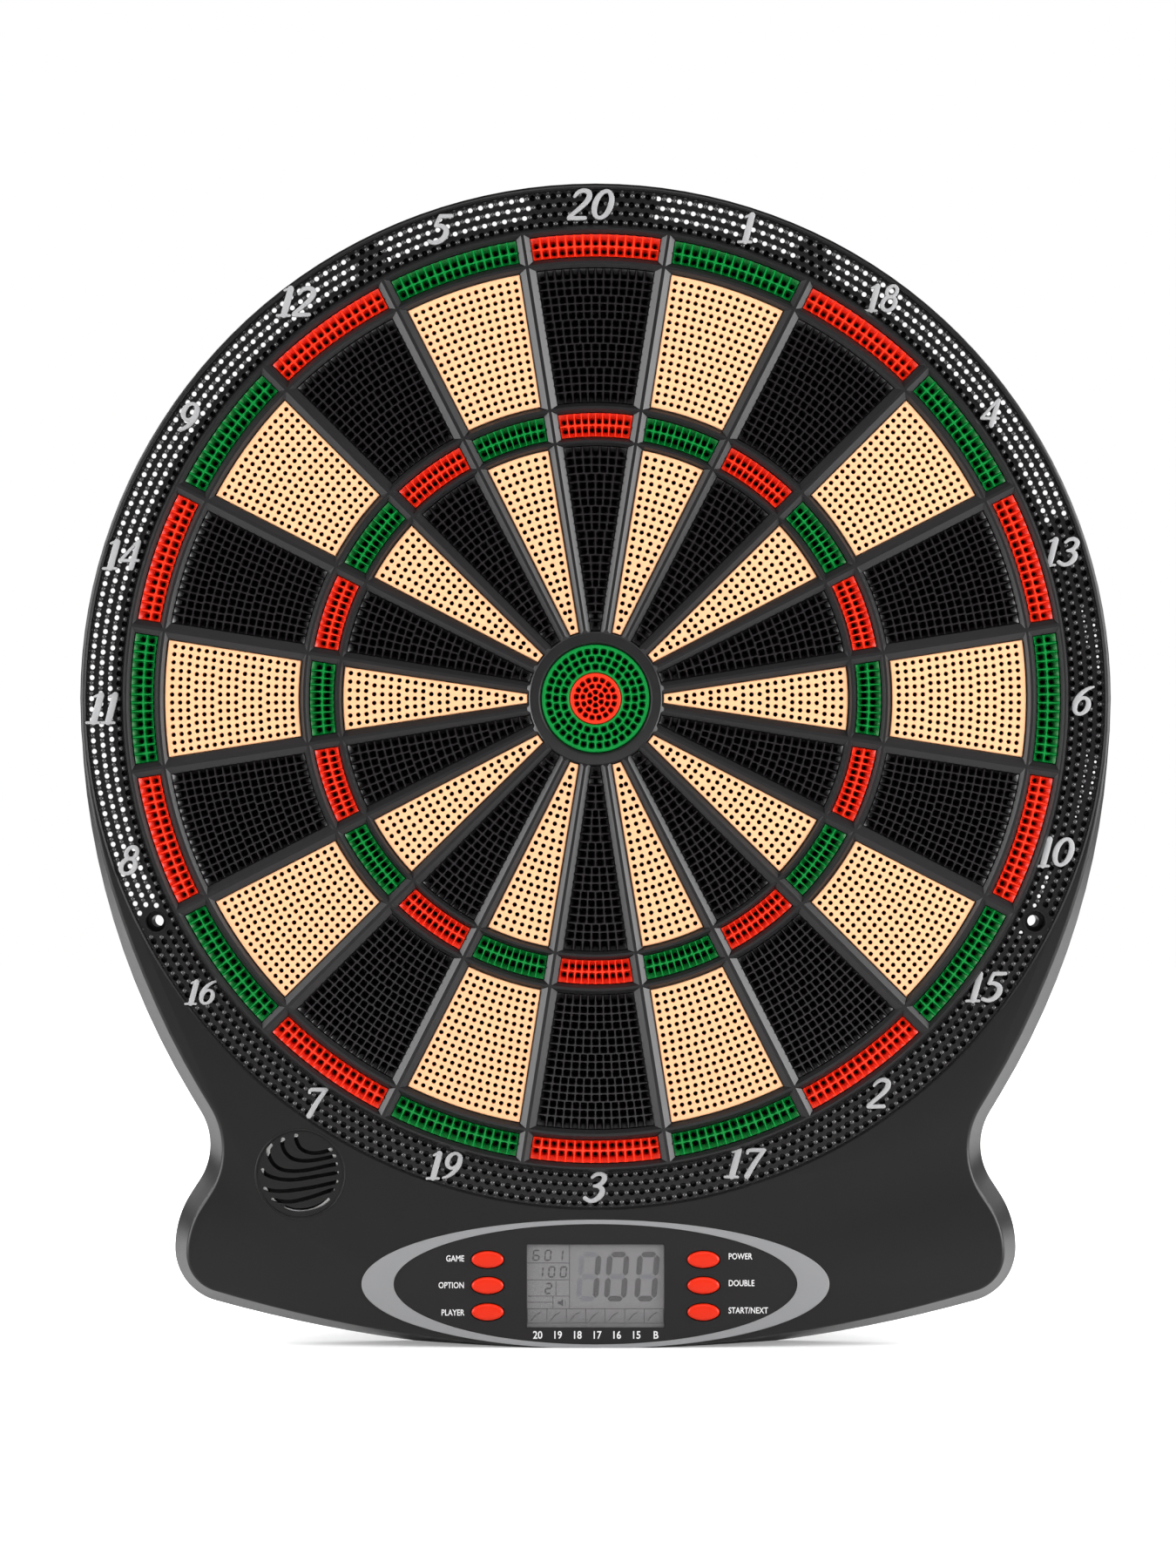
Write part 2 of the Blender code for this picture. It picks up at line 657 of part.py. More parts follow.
def make_housing():
    """The front housing: flared sides, a front face with the number ring, the tube round the target
    and the screw posts."""
    shell = loft(
        "front_housing",
        (
            (housing_outline(1.0, CHAMFER), FACE_DEPTH),
            (housing_outline(1.0), FACE_DEPTH - CHAMFER),
            (housing_outline(0.0), 0.0),
        ),
    )
    housing = as_part("front_housing", shell, BLACK_PLASTIC)
    inside = ((housing_outline(0.9, WALL), FACE_DEPTH - WALL), (housing_outline(-0.05, WALL), -1 * MM))
    face_hole = slab("face_hole", [circle(RING_R - 1.5 * MM)], FACE_DEPTH + MM, FACE_DEPTH - WALL - MM)
    recess = slab("ring_recess", [circle(RING_R)], FACE_DEPTH + MM, RING_FRONT)
    combine(housing, "DIFFERENCE", [loft("housing_cavity", inside), face_hole], "MANIFOLD")
    combine(housing, "UNION", [number_ring()], "MANIFOLD")
    combine(housing, "DIFFERENCE", [recess], "MANIFOLD")
    combine(housing, "UNION", [joined_meshes("posts", housing_posts())], "MANIFOLD")
    combine(housing, "DIFFERENCE", [joined_meshes("openings", housing_openings())], "MANIFOLD")


def cover_outline():
    """The rear cover's plate, where it lies inside the housing's foot."""
    top = MOUNT_HOLE[1] - MOUNT_SLEEVE_R - 0.7 * MM
    inner = housing_outline(COVER_WALL / FACE_DEPTH, WALL + 0.5 * MM)
    right = [(x, z) for x, z in inner if x >= 0 and z < top]
    edge = right[0][0] + 2 * MM
    half = [(edge, top), *right]
    left = [(-x, z) for x, z in reversed(half) if x > 1e-6]
    return half + left


def cover_features():
    """What stands up from the cover's inside: ribs under the foam, screw cups and the battery bay."""
    foot = COVER_WALL - 0.4 * MM
    features = []
    for radius in RIB_RADII:
        outer = radius + RIB_HALF
        inner = radius - RIB_HALF
        features.append(turned("rib", ((outer, RIB_TOP), (outer, foot), (inner, foot), (inner, RIB_TOP)), 20))
    features += [rod("cup", x, z, CUP_R, CUP_FRONT, foot, 16) for x, z in SCREWS]
    bay_x = (BAY_X[0] - BAY_WALL, BAY_X[1] + BAY_WALL)
    bay_z = (BAY_Z[0] - BAY_WALL, BAY_Z[1] + BAY_WALL)
    features.append(block("bay", bay_x, bay_z, BAY_DEPTH + BAY_WALL, foot))
    return features


def make_cover():
    """The rear cover: a flat plate with ribs under the foam, cups for the screws, a notch for the
    hanging tab, and the battery compartment. Each piece of the plate starts a little further back,
    so that no two faces meet flush, and one cut then makes the back flat."""
    plate = slab("rear_cover", [cover_outline()], COVER_WALL, -MM)
    cover = as_part("rear_cover", plate, BLACK_PLASTIC)
    disc = slab("cover_disc", [circle(TUBE_R[1])], COVER_WALL + 0.1 * MM, -1.2 * MM)
    ears = [rod("ear", x, z, EAR_R, COVER_WALL + 0.3 * MM, -1.6 * MM, 20) for x, z in EAR_SCREWS]
    combine(cover, "UNION", [disc, joined_meshes("ears", ears)], "MANIFOLD")
    whole = (-2 * TOP_R, 2 * TOP_R)
    combine(cover, "DIFFERENCE", [block("flat_back", whole, whole, 0.0, -5 * MM)], "MANIFOLD")
    combine(cover, "UNION", [joined_meshes("cover_features", cover_features())], "MANIFOLD")
    recesses = [rod("head_recess", x, z, HEAD_RECESS_R, HEAD_RECESS, -MM, 16) for x, z in SCREWS]
    recesses.append(block("bay_inside", BAY_X, BAY_Z, BAY_DEPTH, -MM))
    levels = (CUP_FRONT + MM, HEAD_RECESS - 0.4 * MM)
    holes = [rod("screw_hole", x, z, SCREW_HOLE_R, *levels, 10) for x, z in SCREWS]
    sockets = (BAY_X[0] - 0.9 * MM, BAY_X[1] + 0.9 * MM)
    holes.append(rod_across("pin_sockets", sockets, -HINGE_DEPTH, HINGE_Z, HINGE_PIN_R + GAP, 12))
    fit = HANGING_TAB_HALF + TAB_FIT / HANGING_TAB_R[0]
    notch_outline = wedge(HANGING_TAB_R[0] - TAB_FIT, TOP_R, fit, fit, SECTOR_STEPS)
    notch = slab("tab_notch", [notch_outline], COVER_WALL + MM, -MM)
    for name, cuts in (("cover_recesses", recesses), ("cover_holes", holes), ("tab_notch", [notch])):
        combine(cover, "DIFFERENCE", [joined_meshes(name, cuts)], "MANIFOLD")


def make_hanging_tab():
    """The flat tab in the cover's notch, with a keyhole: a round opening that leads up into a slot."""
    outline = wedge(*HANGING_TAB_R, HANGING_TAB_HALF, HANGING_TAB_HALF, SECTOR_STEPS)
    tab = as_part("hanging_tab", slab("hanging_tab", [outline], COVER_WALL, 0.0), BLACK_PLASTIC)
    opening = rod("keyhole", 0, KEYHOLE_Z - 2 * MM, KEYHOLE_R, 3 * MM, -MM, 20)
    combine(tab, "DIFFERENCE", [opening], "MANIFOLD")
    slot_x = (-KEYHOLE_SLOT_HALF, KEYHOLE_SLOT_HALF)
    slot = block("keyhole_slot", slot_x, (KEYHOLE_Z, KEYHOLE_TOP), 4 * MM, -2 * MM)
    combine(tab, "DIFFERENCE", [slot], "MANIFOLD")


def make_door():
    """The battery door: a plate with two pins at its top edge, which the cover's sockets hold."""
    x_range = (BAY_X[0] + DOOR_FIT, BAY_X[1] - DOOR_FIT)
    z_range = (BAY_Z[0] + DOOR_FIT, BAY_Z[1] - 0.7 * MM)
    plate = block("battery_door", x_range, z_range, DOOR_FRONT, DOOR_BACK)
    door = as_part("battery_door", plate, BLACK_PLASTIC)
    pins = [
        rod_across("pin", (x_range[0] - MM, x_range[0] + MM), -HINGE_DEPTH, HINGE_Z, HINGE_PIN_R, 12),
        rod_across("pin", (x_range[1] - MM, x_range[1] + MM), -HINGE_DEPTH, HINGE_Z, HINGE_PIN_R, 12),
    ]
    combine(door, "UNION", [joined_meshes("door_pins", pins)])
    hinge = bpy.data.objects.new("battery_door_hinge", None)
    bpy.data.collections[COLLECTION].objects.link(hinge)
    hinge.location = (0, -HINGE_DEPTH, HINGE_Z)
    door.parent = hinge
    door.matrix_parent_inverse = hinge.matrix_basis.inverted()


def make_screws():
    """Self-tapping screws that hold the rear cover to the housing's posts."""
    profile = (
        (0, 14.0 * MM),
        (1.4 * MM, 13.0 * MM),
        (1.4 * MM, 4.15 * MM),
        (2.9 * MM, 4.1 * MM),
        (2.9 * MM, 2.8 * MM),
        (2.0 * MM, 2.3 * MM),
        (0, 2.3 * MM),
    )
    for i, place in enumerate(SCREWS):
        screw = as_part(f"cover_screw_{i + 1}", turned("screw", profile, 12, place), STEEL)
        smooth_round(screw)


# ---- electronics ---------------------------------------------------------------------------------
def make_panel():
    """The printed panel film, the display's window, the display itself and its contact strip."""
    holes = [rectangle((-LCD_HALF[0], LCD_HALF[0]), (LCD_Z - LCD_HALF[1], LCD_Z + LCD_HALF[1]))]
    fit = (BUTTON_HALF[0] + 0.5 * MM, BUTTON_HALF[1] + 0.5 * MM)
    holes += [ellipse(fit, (side * BUTTON_X, z), BUTTON_SIDES) for side in (-1, 1) for z in BUTTON_Z]
    rim = ellipse(PANEL_HALF, (0, PANEL_Z), 48)
    film_back = FACE_DEPTH + GAP
    as_part("control_overlay", slab("control_overlay", [rim, *holes], film_back + GAP, film_back), SILVER)
    inside = (LCD_HALF[0] - GAP, LCD_HALF[1] - GAP)
    window_z = (LCD_Z - inside[1], LCD_Z + inside[1])
    window = block("lcd_window", (-inside[0], inside[0]), window_z, FACE_DEPTH + 0.2 * MM, FACE_DEPTH - MM)
    as_part("lcd_window", window, CLEAR)
    glass_z = (LCD_Z - 17.5 * MM, LCD_Z + 17.5 * MM)
    glass = block("lcd_panel", (-28 * MM, 28 * MM), glass_z, 20.7 * MM, 17.9 * MM)
    as_part("lcd_panel", glass, LCD_GLASS)
    strip_z = (-234.3 * MM, -232.3 * MM)
    strip = block("contact_strip", (-24 * MM, 24 * MM), strip_z, 17.6 * MM, BOARD_FRONT + GAP)
    as_part("contact_strip", strip, RUBBER_GREY)


def make_buttons():
    """Six oval buttons, each a cap through the face, a flange behind it and a stem."""
    face = FACE_DEPTH + 1.4 * MM
    seat = FACE_DEPTH - WALL - GAP
    for side, names in zip((-1, 1), BUTTON_NAMES):
        for name, z in zip(names, BUTTON_Z):
            centre = (side * BUTTON_X, z)
            crown = ellipse((BUTTON_HALF[0] - 0.5 * MM, BUTTON_HALF[1] - 0.5 * MM), centre, BUTTON_SIDES)
            cap = ellipse(BUTTON_HALF, centre, BUTTON_SIDES)
            flange = ellipse((BUTTON_HALF[0] + 1.2 * MM, BUTTON_HALF[1] + 1.2 * MM), centre, BUTTON_SIDES)
            stem = ellipse((3 * MM, 2 * MM), centre, BUTTON_SIDES)
            sections = (
                (crown, face),
                (cap, face - 0.5 * MM),
                (cap, seat),
                (flange, seat - 0.01 * MM),
                (flange, seat - MM),
                (stem, seat - 1.01 * MM),
                (stem, seat - 1.8 * MM),
            )
            smooth_round(as_part(name, loft(name, sections), BUTTON_RED))


def make_keypads():
    """A rubber mat under each column of buttons, with a dome for each."""
    for side, name in ((-1, "keypad_mat_left"), (1, "keypad_mat_right")):
        centre_x = side * BUTTON_X
        mat_x = (centre_x - 8 * MM, centre_x + 8 * MM)
        mat = block(name, mat_x, (-234 * MM, -204 * MM), 16.3 * MM, BOARD_FRONT + GAP)
        domes = [rod("dome", centre_x, z, 3.2 * MM, 17.6 * MM, 16.0 * MM, 16) for z in BUTTON_Z]
        combine(as_part(name, mat, RUBBER_GREY), "UNION", [joined_meshes("domes", domes)])


def make_board():
    """The main circuit board and the resin blob over its controller chip."""
    x_range = (-BOARD_HALF_X, BOARD_HALF_X)
    as_part("main_board", block("main_board", x_range, BOARD_Z, BOARD_FRONT, BOARD_BACK), CIRCUIT_GREEN)
    back = BOARD_BACK - GAP
    profile = ((0, back), (6 * MM, back), (4.6 * MM, back - 1.2 * MM), (0, back - 1.8 * MM))
    chip = turned("controller_chip", profile, 24, (0, -216 * MM))
    smooth_round(as_part("controller_chip", chip, CHIP_BLACK), 50)


def make_speaker():
    """A small loudspeaker: steel basket, paper cone and magnet."""
    front = FACE_DEPTH - WALL - GAP
    basket = (
        (15.8 * MM, front),
        (15.8 * MM, front - 1.2 * MM),
        (12.5 * MM, front - 4.5 * MM),
        (9.0 * MM, front - 4.5 * MM),
        (9.0 * MM, front - 3.5 * MM),
        (12.0 * MM, front - 3.5 * MM),
        (13.8 * MM, front - 1.2 * MM),
        (13.8 * MM, front),
    )
    smooth_round(as_part("speaker_basket", turned("speaker_basket", basket, 32, SPEAKER), STEEL))
    cone = (
        (0, front - 1.6 * MM),
        (4 * MM, front - 1.6 * MM),
        (13.2 * MM, front - 0.4 * MM),
        (13.2 * MM, front - 0.9 * MM),
        (4 * MM, front - 2.4 * MM),
        (0, front - 2.4 * MM),
    )
    smooth_round(as_part("speaker_cone", turned("speaker_cone", cone, 32, SPEAKER), PAPER_CONE))
    magnet = rod("speaker_magnet", *SPEAKER, 8.0 * MM, front - 4.8 * MM, front - 10 * MM, 32)
    smooth_round(as_part("speaker_magnet", magnet, STEEL))


def make_batteries():
    """Three AA cells side by side, and the contact plates at their ends."""
    middle_z = sum(BAY_Z) / 2
    start_x = sum(BAY_X) / 2 - CELL_LENGTH / 2 - 1.5 * MM
    depth = BAY_DEPTH - CELL_R - GAP
    for i in range(CELLS):
        z = middle_z + (1 - i) * CELL_PITCH
        body = (start_x, start_x + CELL_LENGTH - 1.2 * MM)
        cell = rod_across(f"battery_{i + 1}", body, -depth, z, CELL_R, 20)
        part = as_part(f"battery_{i + 1}", cell, CELL_WRAP)
        tip_x = (body[1] - 0.4 * MM, start_x + CELL_LENGTH)
        tip = rod_across("tip", tip_x, -depth, z, 2.7 * MM, 12)
        combine(part, "UNION", [tip])
        smooth_round(part)
    plate_z = (BAY_Z[0] + MM, BAY_Z[1] - MM)
    levels = (depth + 5 * MM, depth - 5 * MM)
    tip_plate_x = (BAY_X[1] - 0.7 * MM, BAY_X[1] - GAP)
    tip_plate = block("battery_tip_plate", tip_plate_x, plate_z, *levels)
    as_part("battery_tip_plate", tip_plate, STEEL)
    spring_x = (BAY_X[0] + GAP, BAY_X[0] + 0.7 * MM)
    spring_plate = block("battery_spring_plate", spring_x, plate_z, *levels)
    part = as_part("battery_spring_plate", spring_plate, STEEL)
    coils = []
    for i in range(CELLS):
        coil_x = (spring_x[0] + 0.2 * MM, start_x - GAP)
        coils.append(rod_across("coil", coil_x, -depth, middle_z + (1 - i) * CELL_PITCH, 3.2 * MM, 12))
    combine(part, "UNION", [joined_meshes("coils", coils)])


def between(corners, share):
    """A value on the smooth curve between the middle two of four corners, at a share of the way."""
    p, q, r, s = corners
    slope = (r - p) * share
    bend = (2 * p - 5 * q + 4 * r - s) * share**2
    twist = (3 * q - p - 3 * r + s) * share**3
    return 0.5 * (2 * q + slope + bend + twist)


def smooth_route(points, per_leg=4):
    """Points along a smooth curve through a route's own points."""
    padded = [points[0], *points, points[-1]]
    route = []
    for a, b, c, d in zip(padded, padded[1:], padded[2:], padded[3:]):
        for i in range(per_leg):
            t = i / per_leg
            route.append(tuple(between(corners, t) for corners in zip(a, b, c, d)))
    return [*route, tuple(points[-1])]


def make_leads():
    """The insulated pairs that join the speaker and the battery contacts to the circuit board."""
    speaker_lead = (
        (-110.3, -8.6, -188.0),
        (-109.0, -8.0, -196.0),
        (-100.0, -8.5, -206.0),
        (-86.0, -10.0, -211.0),
        (-74.0, -11.6, -212.0),
        (-62.0, -12.2, -212.0),
    )
    battery_lead = (
        (70.0, -8.0, -196.0),
        (69.5, -8.5, -201.0),
        (66.0, -10.0, -207.0),
        (60.0, -12.0, -210.0),
        (50.0, -12.2, -210.5),
    )
    for name, route in (("speaker_lead", speaker_lead), ("battery_lead", battery_lead)):
        points = smooth_route([tuple(v * MM for v in point) for point in route])
        part = as_part(name, tube_along(name, points, 0.8 * MM), WIRE)
        smooth_round(part)


def main():
    clear_scene()
    make_housing()
    make_cover()
    make_hanging_tab()
    make_door()
    make_screws()
    make_web()
    make_segments()
    make_bulls()
    make_backing()
    make_panel()
    make_buttons()
    make_keypads()
    make_board()
    make_speaker()
    make_batteries()
    make_leads()


main()
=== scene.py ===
"""Looks of an electronic dartboard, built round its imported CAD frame.

Frame: metres. The front faces -Y, the right of the board is +X and up is +Z. The origin is the
bull's centre on the rear face, so the wall is the plane y = 0. A depth is a distance from that wall.
"""

import json
import math

import bmesh
import bpy
from mathutils import Matrix, Vector


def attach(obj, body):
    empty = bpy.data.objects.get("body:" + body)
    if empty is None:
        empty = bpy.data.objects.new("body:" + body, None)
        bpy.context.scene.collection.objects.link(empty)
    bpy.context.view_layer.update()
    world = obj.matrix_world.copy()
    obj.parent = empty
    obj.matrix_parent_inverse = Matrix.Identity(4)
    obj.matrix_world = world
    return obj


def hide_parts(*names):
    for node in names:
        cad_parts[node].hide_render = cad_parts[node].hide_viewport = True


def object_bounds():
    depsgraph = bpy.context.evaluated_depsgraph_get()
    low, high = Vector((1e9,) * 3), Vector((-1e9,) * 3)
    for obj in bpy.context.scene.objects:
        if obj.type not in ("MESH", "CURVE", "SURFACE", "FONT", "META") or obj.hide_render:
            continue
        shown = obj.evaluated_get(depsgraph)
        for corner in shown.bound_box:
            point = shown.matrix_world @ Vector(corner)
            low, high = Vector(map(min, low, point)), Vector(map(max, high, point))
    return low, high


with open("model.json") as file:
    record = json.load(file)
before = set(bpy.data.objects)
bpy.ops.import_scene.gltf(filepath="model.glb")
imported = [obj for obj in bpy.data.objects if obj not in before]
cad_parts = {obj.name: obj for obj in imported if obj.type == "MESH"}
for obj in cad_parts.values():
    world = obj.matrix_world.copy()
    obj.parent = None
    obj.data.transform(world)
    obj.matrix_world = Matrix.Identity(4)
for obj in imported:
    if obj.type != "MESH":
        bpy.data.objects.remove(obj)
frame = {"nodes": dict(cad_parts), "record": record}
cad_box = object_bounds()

MM = 0.001

# ---- the board's dimensions, as its CAD has them ----------------------------------------------------
FACE = 23.5 * MM
WALL = 2.4 * MM
COVER_WALL = 2.2 * MM
INNER_BULL_R = 9.5 * MM
OUTER_BULL_R = 20.1 * MM
INNER_SINGLE = (25.5 * MM, 94.2 * MM)
TREBLE = (97.9 * MM, 106.6 * MM)
OUTER_SINGLE = (110.8 * MM, 160.7 * MM)
DOUBLE = (165.2 * MM, 173.4 * MM)
RINGS = (INNER_SINGLE, TREBLE, OUTER_SINGLE, DOUBLE)
NUMBERS = (20, 1, 18, 4, 13, 6, 10, 15, 2, 17, 3, 19, 7, 16, 8, 11, 14, 9, 12, 5)
SECTOR = 2 * math.pi / len(NUMBERS)
BAR_AT_BULL = 2.4 * MM  # half widths of the web's radial bars
BAR_AT_TREBLE = 3.0 * MM
BAR_AT_DOUBLE = 3.35 * MM
BAR_IN_NARROW_RINGS = 2.8 * MM
RIDGE = 0.32 * MM  # half width of the flat ridge along a bar
WEB_R = 176.6 * MM
WEB_BACK = 20.0 * MM
WEB_SLOPE = 23.7 * MM  # where the slopes of the bars start
WEB_FRONT = 25.3 * MM
WINDOW_CLEARANCE = 0.35 * MM  # between a segment and the web
SEGMENT_FACE = 24.2 * MM
FLANGE_FRONT = 19.6 * MM
FLANGE_BACK = 18.2 * MM
TRAVEL = 1.2 * MM
RING_R = 190.5 * MM
RING_FRONT = 22.0 * MM
RING_BACK = 20.0 * MM
TUBE_R = (176.9 * MM, 178.9 * MM)  # the wall round the target
TUBE_BACK = COVER_WALL + 0.4 * MM
TOP_R = 194.8 * MM
OUTLINE = (  # from the top down the right side: way, radius or length, degrees turned
    ("right", TOP_R, 90.0),
    ("right", 290.0 * MM, 31.0),
    ("ahead", 7.8 * MM, 0.0),
    ("left", 24.0 * MM, 64.0),
    ("ahead", 6.0 * MM, 0.0),
    ("right", 38.0 * MM, 33.0),
    ("right", 21.0 * MM, 74.5),
)
CHIN_TURN = 15.5
ARC_STEP = 2.5
FLARE_TOP = 2.2 * MM  # how far the sides slope in, from the wall to the front
FLARE_FOOT = 6.2 * MM
FLARE_CHIN = 3.4 * MM
FLARE_END_Z = -120 * MM
FOOT_X = 144 * MM
PANEL_Z = -218.7 * MM
PANEL_HALF = (87.4 * MM, 24.1 * MM)
BLACK_HALF = (75.4 * MM, 22.5 * MM)
LCD_Z = -219.4 * MM
LCD_HALF = (25.7 * MM, 15.55 * MM)
BUTTON_X = 40.3 * MM
BUTTON_Z = (-209.5 * MM, -219.2 * MM, -229.1 * MM)
BUTTON_HALF = (6.0 * MM, 3.15 * MM)
BUTTON_FACE = FACE + 1.4 * MM
BUTTON_NAMES = (
    ("game_button", "option_button", "player_button"),
    ("power_button", "double_button", "start_button"),
)
SPEAKER = (-110.3 * MM, -177.6 * MM)
GRILLE_R = 16.3 * MM
BAY_X = (72.2 * MM, 131.8 * MM)
BAY_Z = (-220.7 * MM, -174.7 * MM)
BAY_WALL = 1.2 * MM
BAY_DEPTH = 17.4 * MM
HINGE_DEPTH = 1.1 * MM
HINGE_Z = BAY_Z[1] - 2.0 * MM
MOUNT_HOLE = (164.4 * MM, -83.3 * MM)
MOUNT_HOLE_R = 2.2 * MM
MOUNT_SLEEVE_R = 4.5 * MM
KEYHOLE_Z = 182.5 * MM
KEYHOLE_R = 4.6 * MM
KEYHOLE_SLOT_HALF = 2.3 * MM
KEYHOLE_TOP = 188.5 * MM
SCREW_RING_R = 184.7 * MM
SCREW_CLOCK = math.radians(27)
EAR_X = SCREW_RING_R * math.sin(SCREW_CLOCK)
EAR_Z = SCREW_RING_R * math.cos(SCREW_CLOCK)
EAR_SCREWS = ((-EAR_X, EAR_Z), (EAR_X, EAR_Z))
FOOT_SCREWS = ((-30 * MM, -192 * MM), (30 * MM, -192 * MM), (-144 * MM, -208 * MM), (144 * MM, -208 * MM))
SCREWS = (*EAR_SCREWS, *FOOT_SCREWS)
EAR_R = 5.6 * MM
HANGING_TAB_R = (172.0 * MM, 191.2 * MM)
HANGING_TAB_HALF = math.radians(7)
TAB_FIT = 0.3 * MM
DOOR_BACK = 0.1 * MM
DOOR_FRONT = 2.1 * MM
HINGE_PIN_R = 0.5 * MM
CELL_R = 7.1 * MM
CELL_LENGTH = 50.0 * MM
CELL_PITCH = 15.0 * MM

# ---- detail that only the looks have --------------------------------------------------------------
ROUND_STEPS = 240
ARC_STEPS = 12  # along an arc of one sector
TIP_HOLE_R = 0.80 * MM
WIDE_HOLE_R = 1.05 * MM
PLAIN_HOLE_R = 0.88 * MM
FUNNEL_DEPTH = 2.5 * MM
HOLE_TAPER = 0.45  # width of a tip hole at its back, as a share of its width under the funnel
CELL_RIDGE = 0.17 * MM  # half width of the ridge between two funnels
RING_ROWS = (188.5 * MM, 185.05 * MM, 181.6 * MM, 178.15 * MM)
RING_HOLES = 300
RING_HOLE_R = 0.95 * MM
CUP_BACK = RING_BACK - 2.6 * MM  # the floor of the ring's closed holes
RIM_BUMPS_R = 189.9 * MM
STUD = ((0.25, 0.75), (0.62, 0.6), (0.9, 0.25), (0.98, -0.1))  # radius and height above the ring, in mm


# ---- meshes ---------------------------------------------------------------------------------------
def finished_mesh(obj, name):
    """The object's mesh as its modifiers leave it, as a mesh of its own."""
    bpy.context.view_layer.update()
    evaluated = obj.evaluated_get(bpy.context.evaluated_depsgraph_get())
    mesh = bpy.data.meshes.new_from_object(evaluated)
    mesh.name = name
    mesh.transform(obj.matrix_world)
    return mesh


def welded(mesh):
    """Joins the loose caps and seams of a mesh made from a curve or a screw."""
    work = bmesh.new()
    work.from_mesh(mesh)
    bmesh.ops.remove_doubles(work, verts=work.verts, dist=1e-6)
    bmesh.ops.recalc_face_normals(work, faces=work.faces)
    work.to_mesh(mesh)
    work.free()
    return mesh


def shown(name, data):
    """A new object of the scene."""
    made = bpy.data.objects.new(name, data)
    bpy.context.scene.collection.objects.link(made)
    return made


def drawn_mesh(name, curve, move):
    """A curve's filled shape as a mesh, moved to its place."""
    drawn = shown(name, curve)
    drawn.matrix_world = move
    mesh = finished_mesh(drawn, name)
    bpy.data.objects.remove(drawn, do_unlink=True)
    return mesh


def slab(name, outlines, front, back):
    """A flat plate from depth front to depth back. The first outline is its rim, the rest are holes."""
    curve = bpy.data.curves.new(name, "CURVE")
    curve.dimensions = "2D"
    curve.fill_mode = "BOTH"
    curve.extrude = (front - back) / 2
    for outline in outlines:
        spline = curve.splines.new("POLY")
        spline.points.add(len(outline) - 1)
        spline.use_cyclic_u = True
        for point, (x, z) in zip(spline.points, outline):
            point.co = (x, z, 0, 1)
    middle = Matrix.Translation((0, -(front + back) / 2, 0))
    return welded(drawn_mesh(name, curve, middle @ Matrix.Rotation(math.pi / 2, 4, "X")))


def mesh_of(name, work):
    """What was drawn, as a mesh."""
    mesh = bpy.data.meshes.new(name)
    work.to_mesh(mesh)
    work.free()
    return mesh


def skinned(name, rings, closed=False):
    """A solid skinned over rings of points that follow each other. A ring of one point is a tip. A
    closed one joins its last ring to its first, and has no ends."""
    work = bmesh.new()
    rings = [[work.verts.new(point) for point in ring] for ring in rings]
    pairs = list(zip(rings, rings[1:]))
    if closed:
        pairs.append((rings[-1], rings[0]))
    for upper, lower in pairs:
        count = max(len(upper), len(lower))
        for i in range(count):
            j = (i + 1) % count
            if len(upper) == 1:
                work.faces.new((upper[0], lower[j], lower[i]))
            elif len(lower) == 1:
                work.faces.new((upper[i], upper[j], lower[0]))
            else:
                work.faces.new((upper[i], upper[j], lower[j], lower[i]))
    if not closed and len(rings[0]) > 1:
        work.faces.new(rings[0])
        work.faces.new(rings[-1])
    bmesh.ops.recalc_face_normals(work, faces=work.faces)
    return mesh_of(name, work)


def loft(name, sections, closed=False):
    """A solid through outlines, each at its own depth, from front to back. They have the same number of
    points, or one point for a tip. A closed solid is a ring, without ends."""
    return skinned(name, [[(x, -depth, z) for x, z in outline] for outline, depth in sections], closed)


def plate_solid(outline, front, back):
    """A flat solid with one outline, between two depths."""
    return loft("plate", ((outline, front), (outline, back)))


def round_bar(name, place, length, sides, radius, back_radius):
    """A round bar or cone of a length, put in place by a matrix."""
    work = bmesh.new()
    bmesh.ops.create_cone(
        work, cap_ends=True, segments=sides, radius1=back_radius, radius2=radius, depth=length, matrix=place
    )
    return mesh_of(name, work)


def rod(name, x, z, radius, front, back, sides=24, back_radius=None):
    """A round bar along Y, or a cone with its own radius at the back."""
    place = Matrix.Translation((x, -(front + back) / 2, z)) @ Matrix.Rotation(math.pi / 2, 4, "X")
    return round_bar(name, place, front - back, sides, radius, radius if back_radius is None else back_radius)


def rod_across(name, x_range, y, z, radius, sides):
    """A round bar along X."""
    place = Matrix.Translation((sum(x_range) / 2, y, z)) @ Matrix.Rotation(math.pi / 2, 4, "Y")
    return round_bar(name, place, x_range[1] - x_range[0], sides, radius, radius)


def block(name, x_range, z_range, front, back):
    """A box between two values of x, two of z and two depths."""
    work = bmesh.new()
    size = (x_range[1] - x_range[0], front - back, z_range[1] - z_range[0])
    centre = (sum(x_range) / 2, -(front + back) / 2, sum(z_range) / 2)
    bmesh.ops.create_cube(work, size=1, matrix=Matrix.Translation(centre) @ Matrix.Diagonal((*size, 1)))
    return mesh_of(name, work)


def turned(name, profile, steps=ROUND_STEPS, centre=(0.0, 0.0)):
    """A ring or disc turned round an axis along Y. The profile holds (radius, depth) pairs, down its
    outer side from front to back, and closes on itself unless both of its ends are on the axis."""
    sections = [(circle(radius, centre, steps) if radius else [centre], depth) for radius, depth in profile]
    return loft(name, sections, closed=profile[0][0] != 0)


def joined_meshes(name, meshes):
    """Several separate closed shapes as one mesh."""
    work = bmesh.new()
    for mesh in meshes:
        work.from_mesh(mesh)
    made = mesh_of(name, work)
    for mesh in meshes:
        bpy.data.meshes.remove(mesh)
    return made


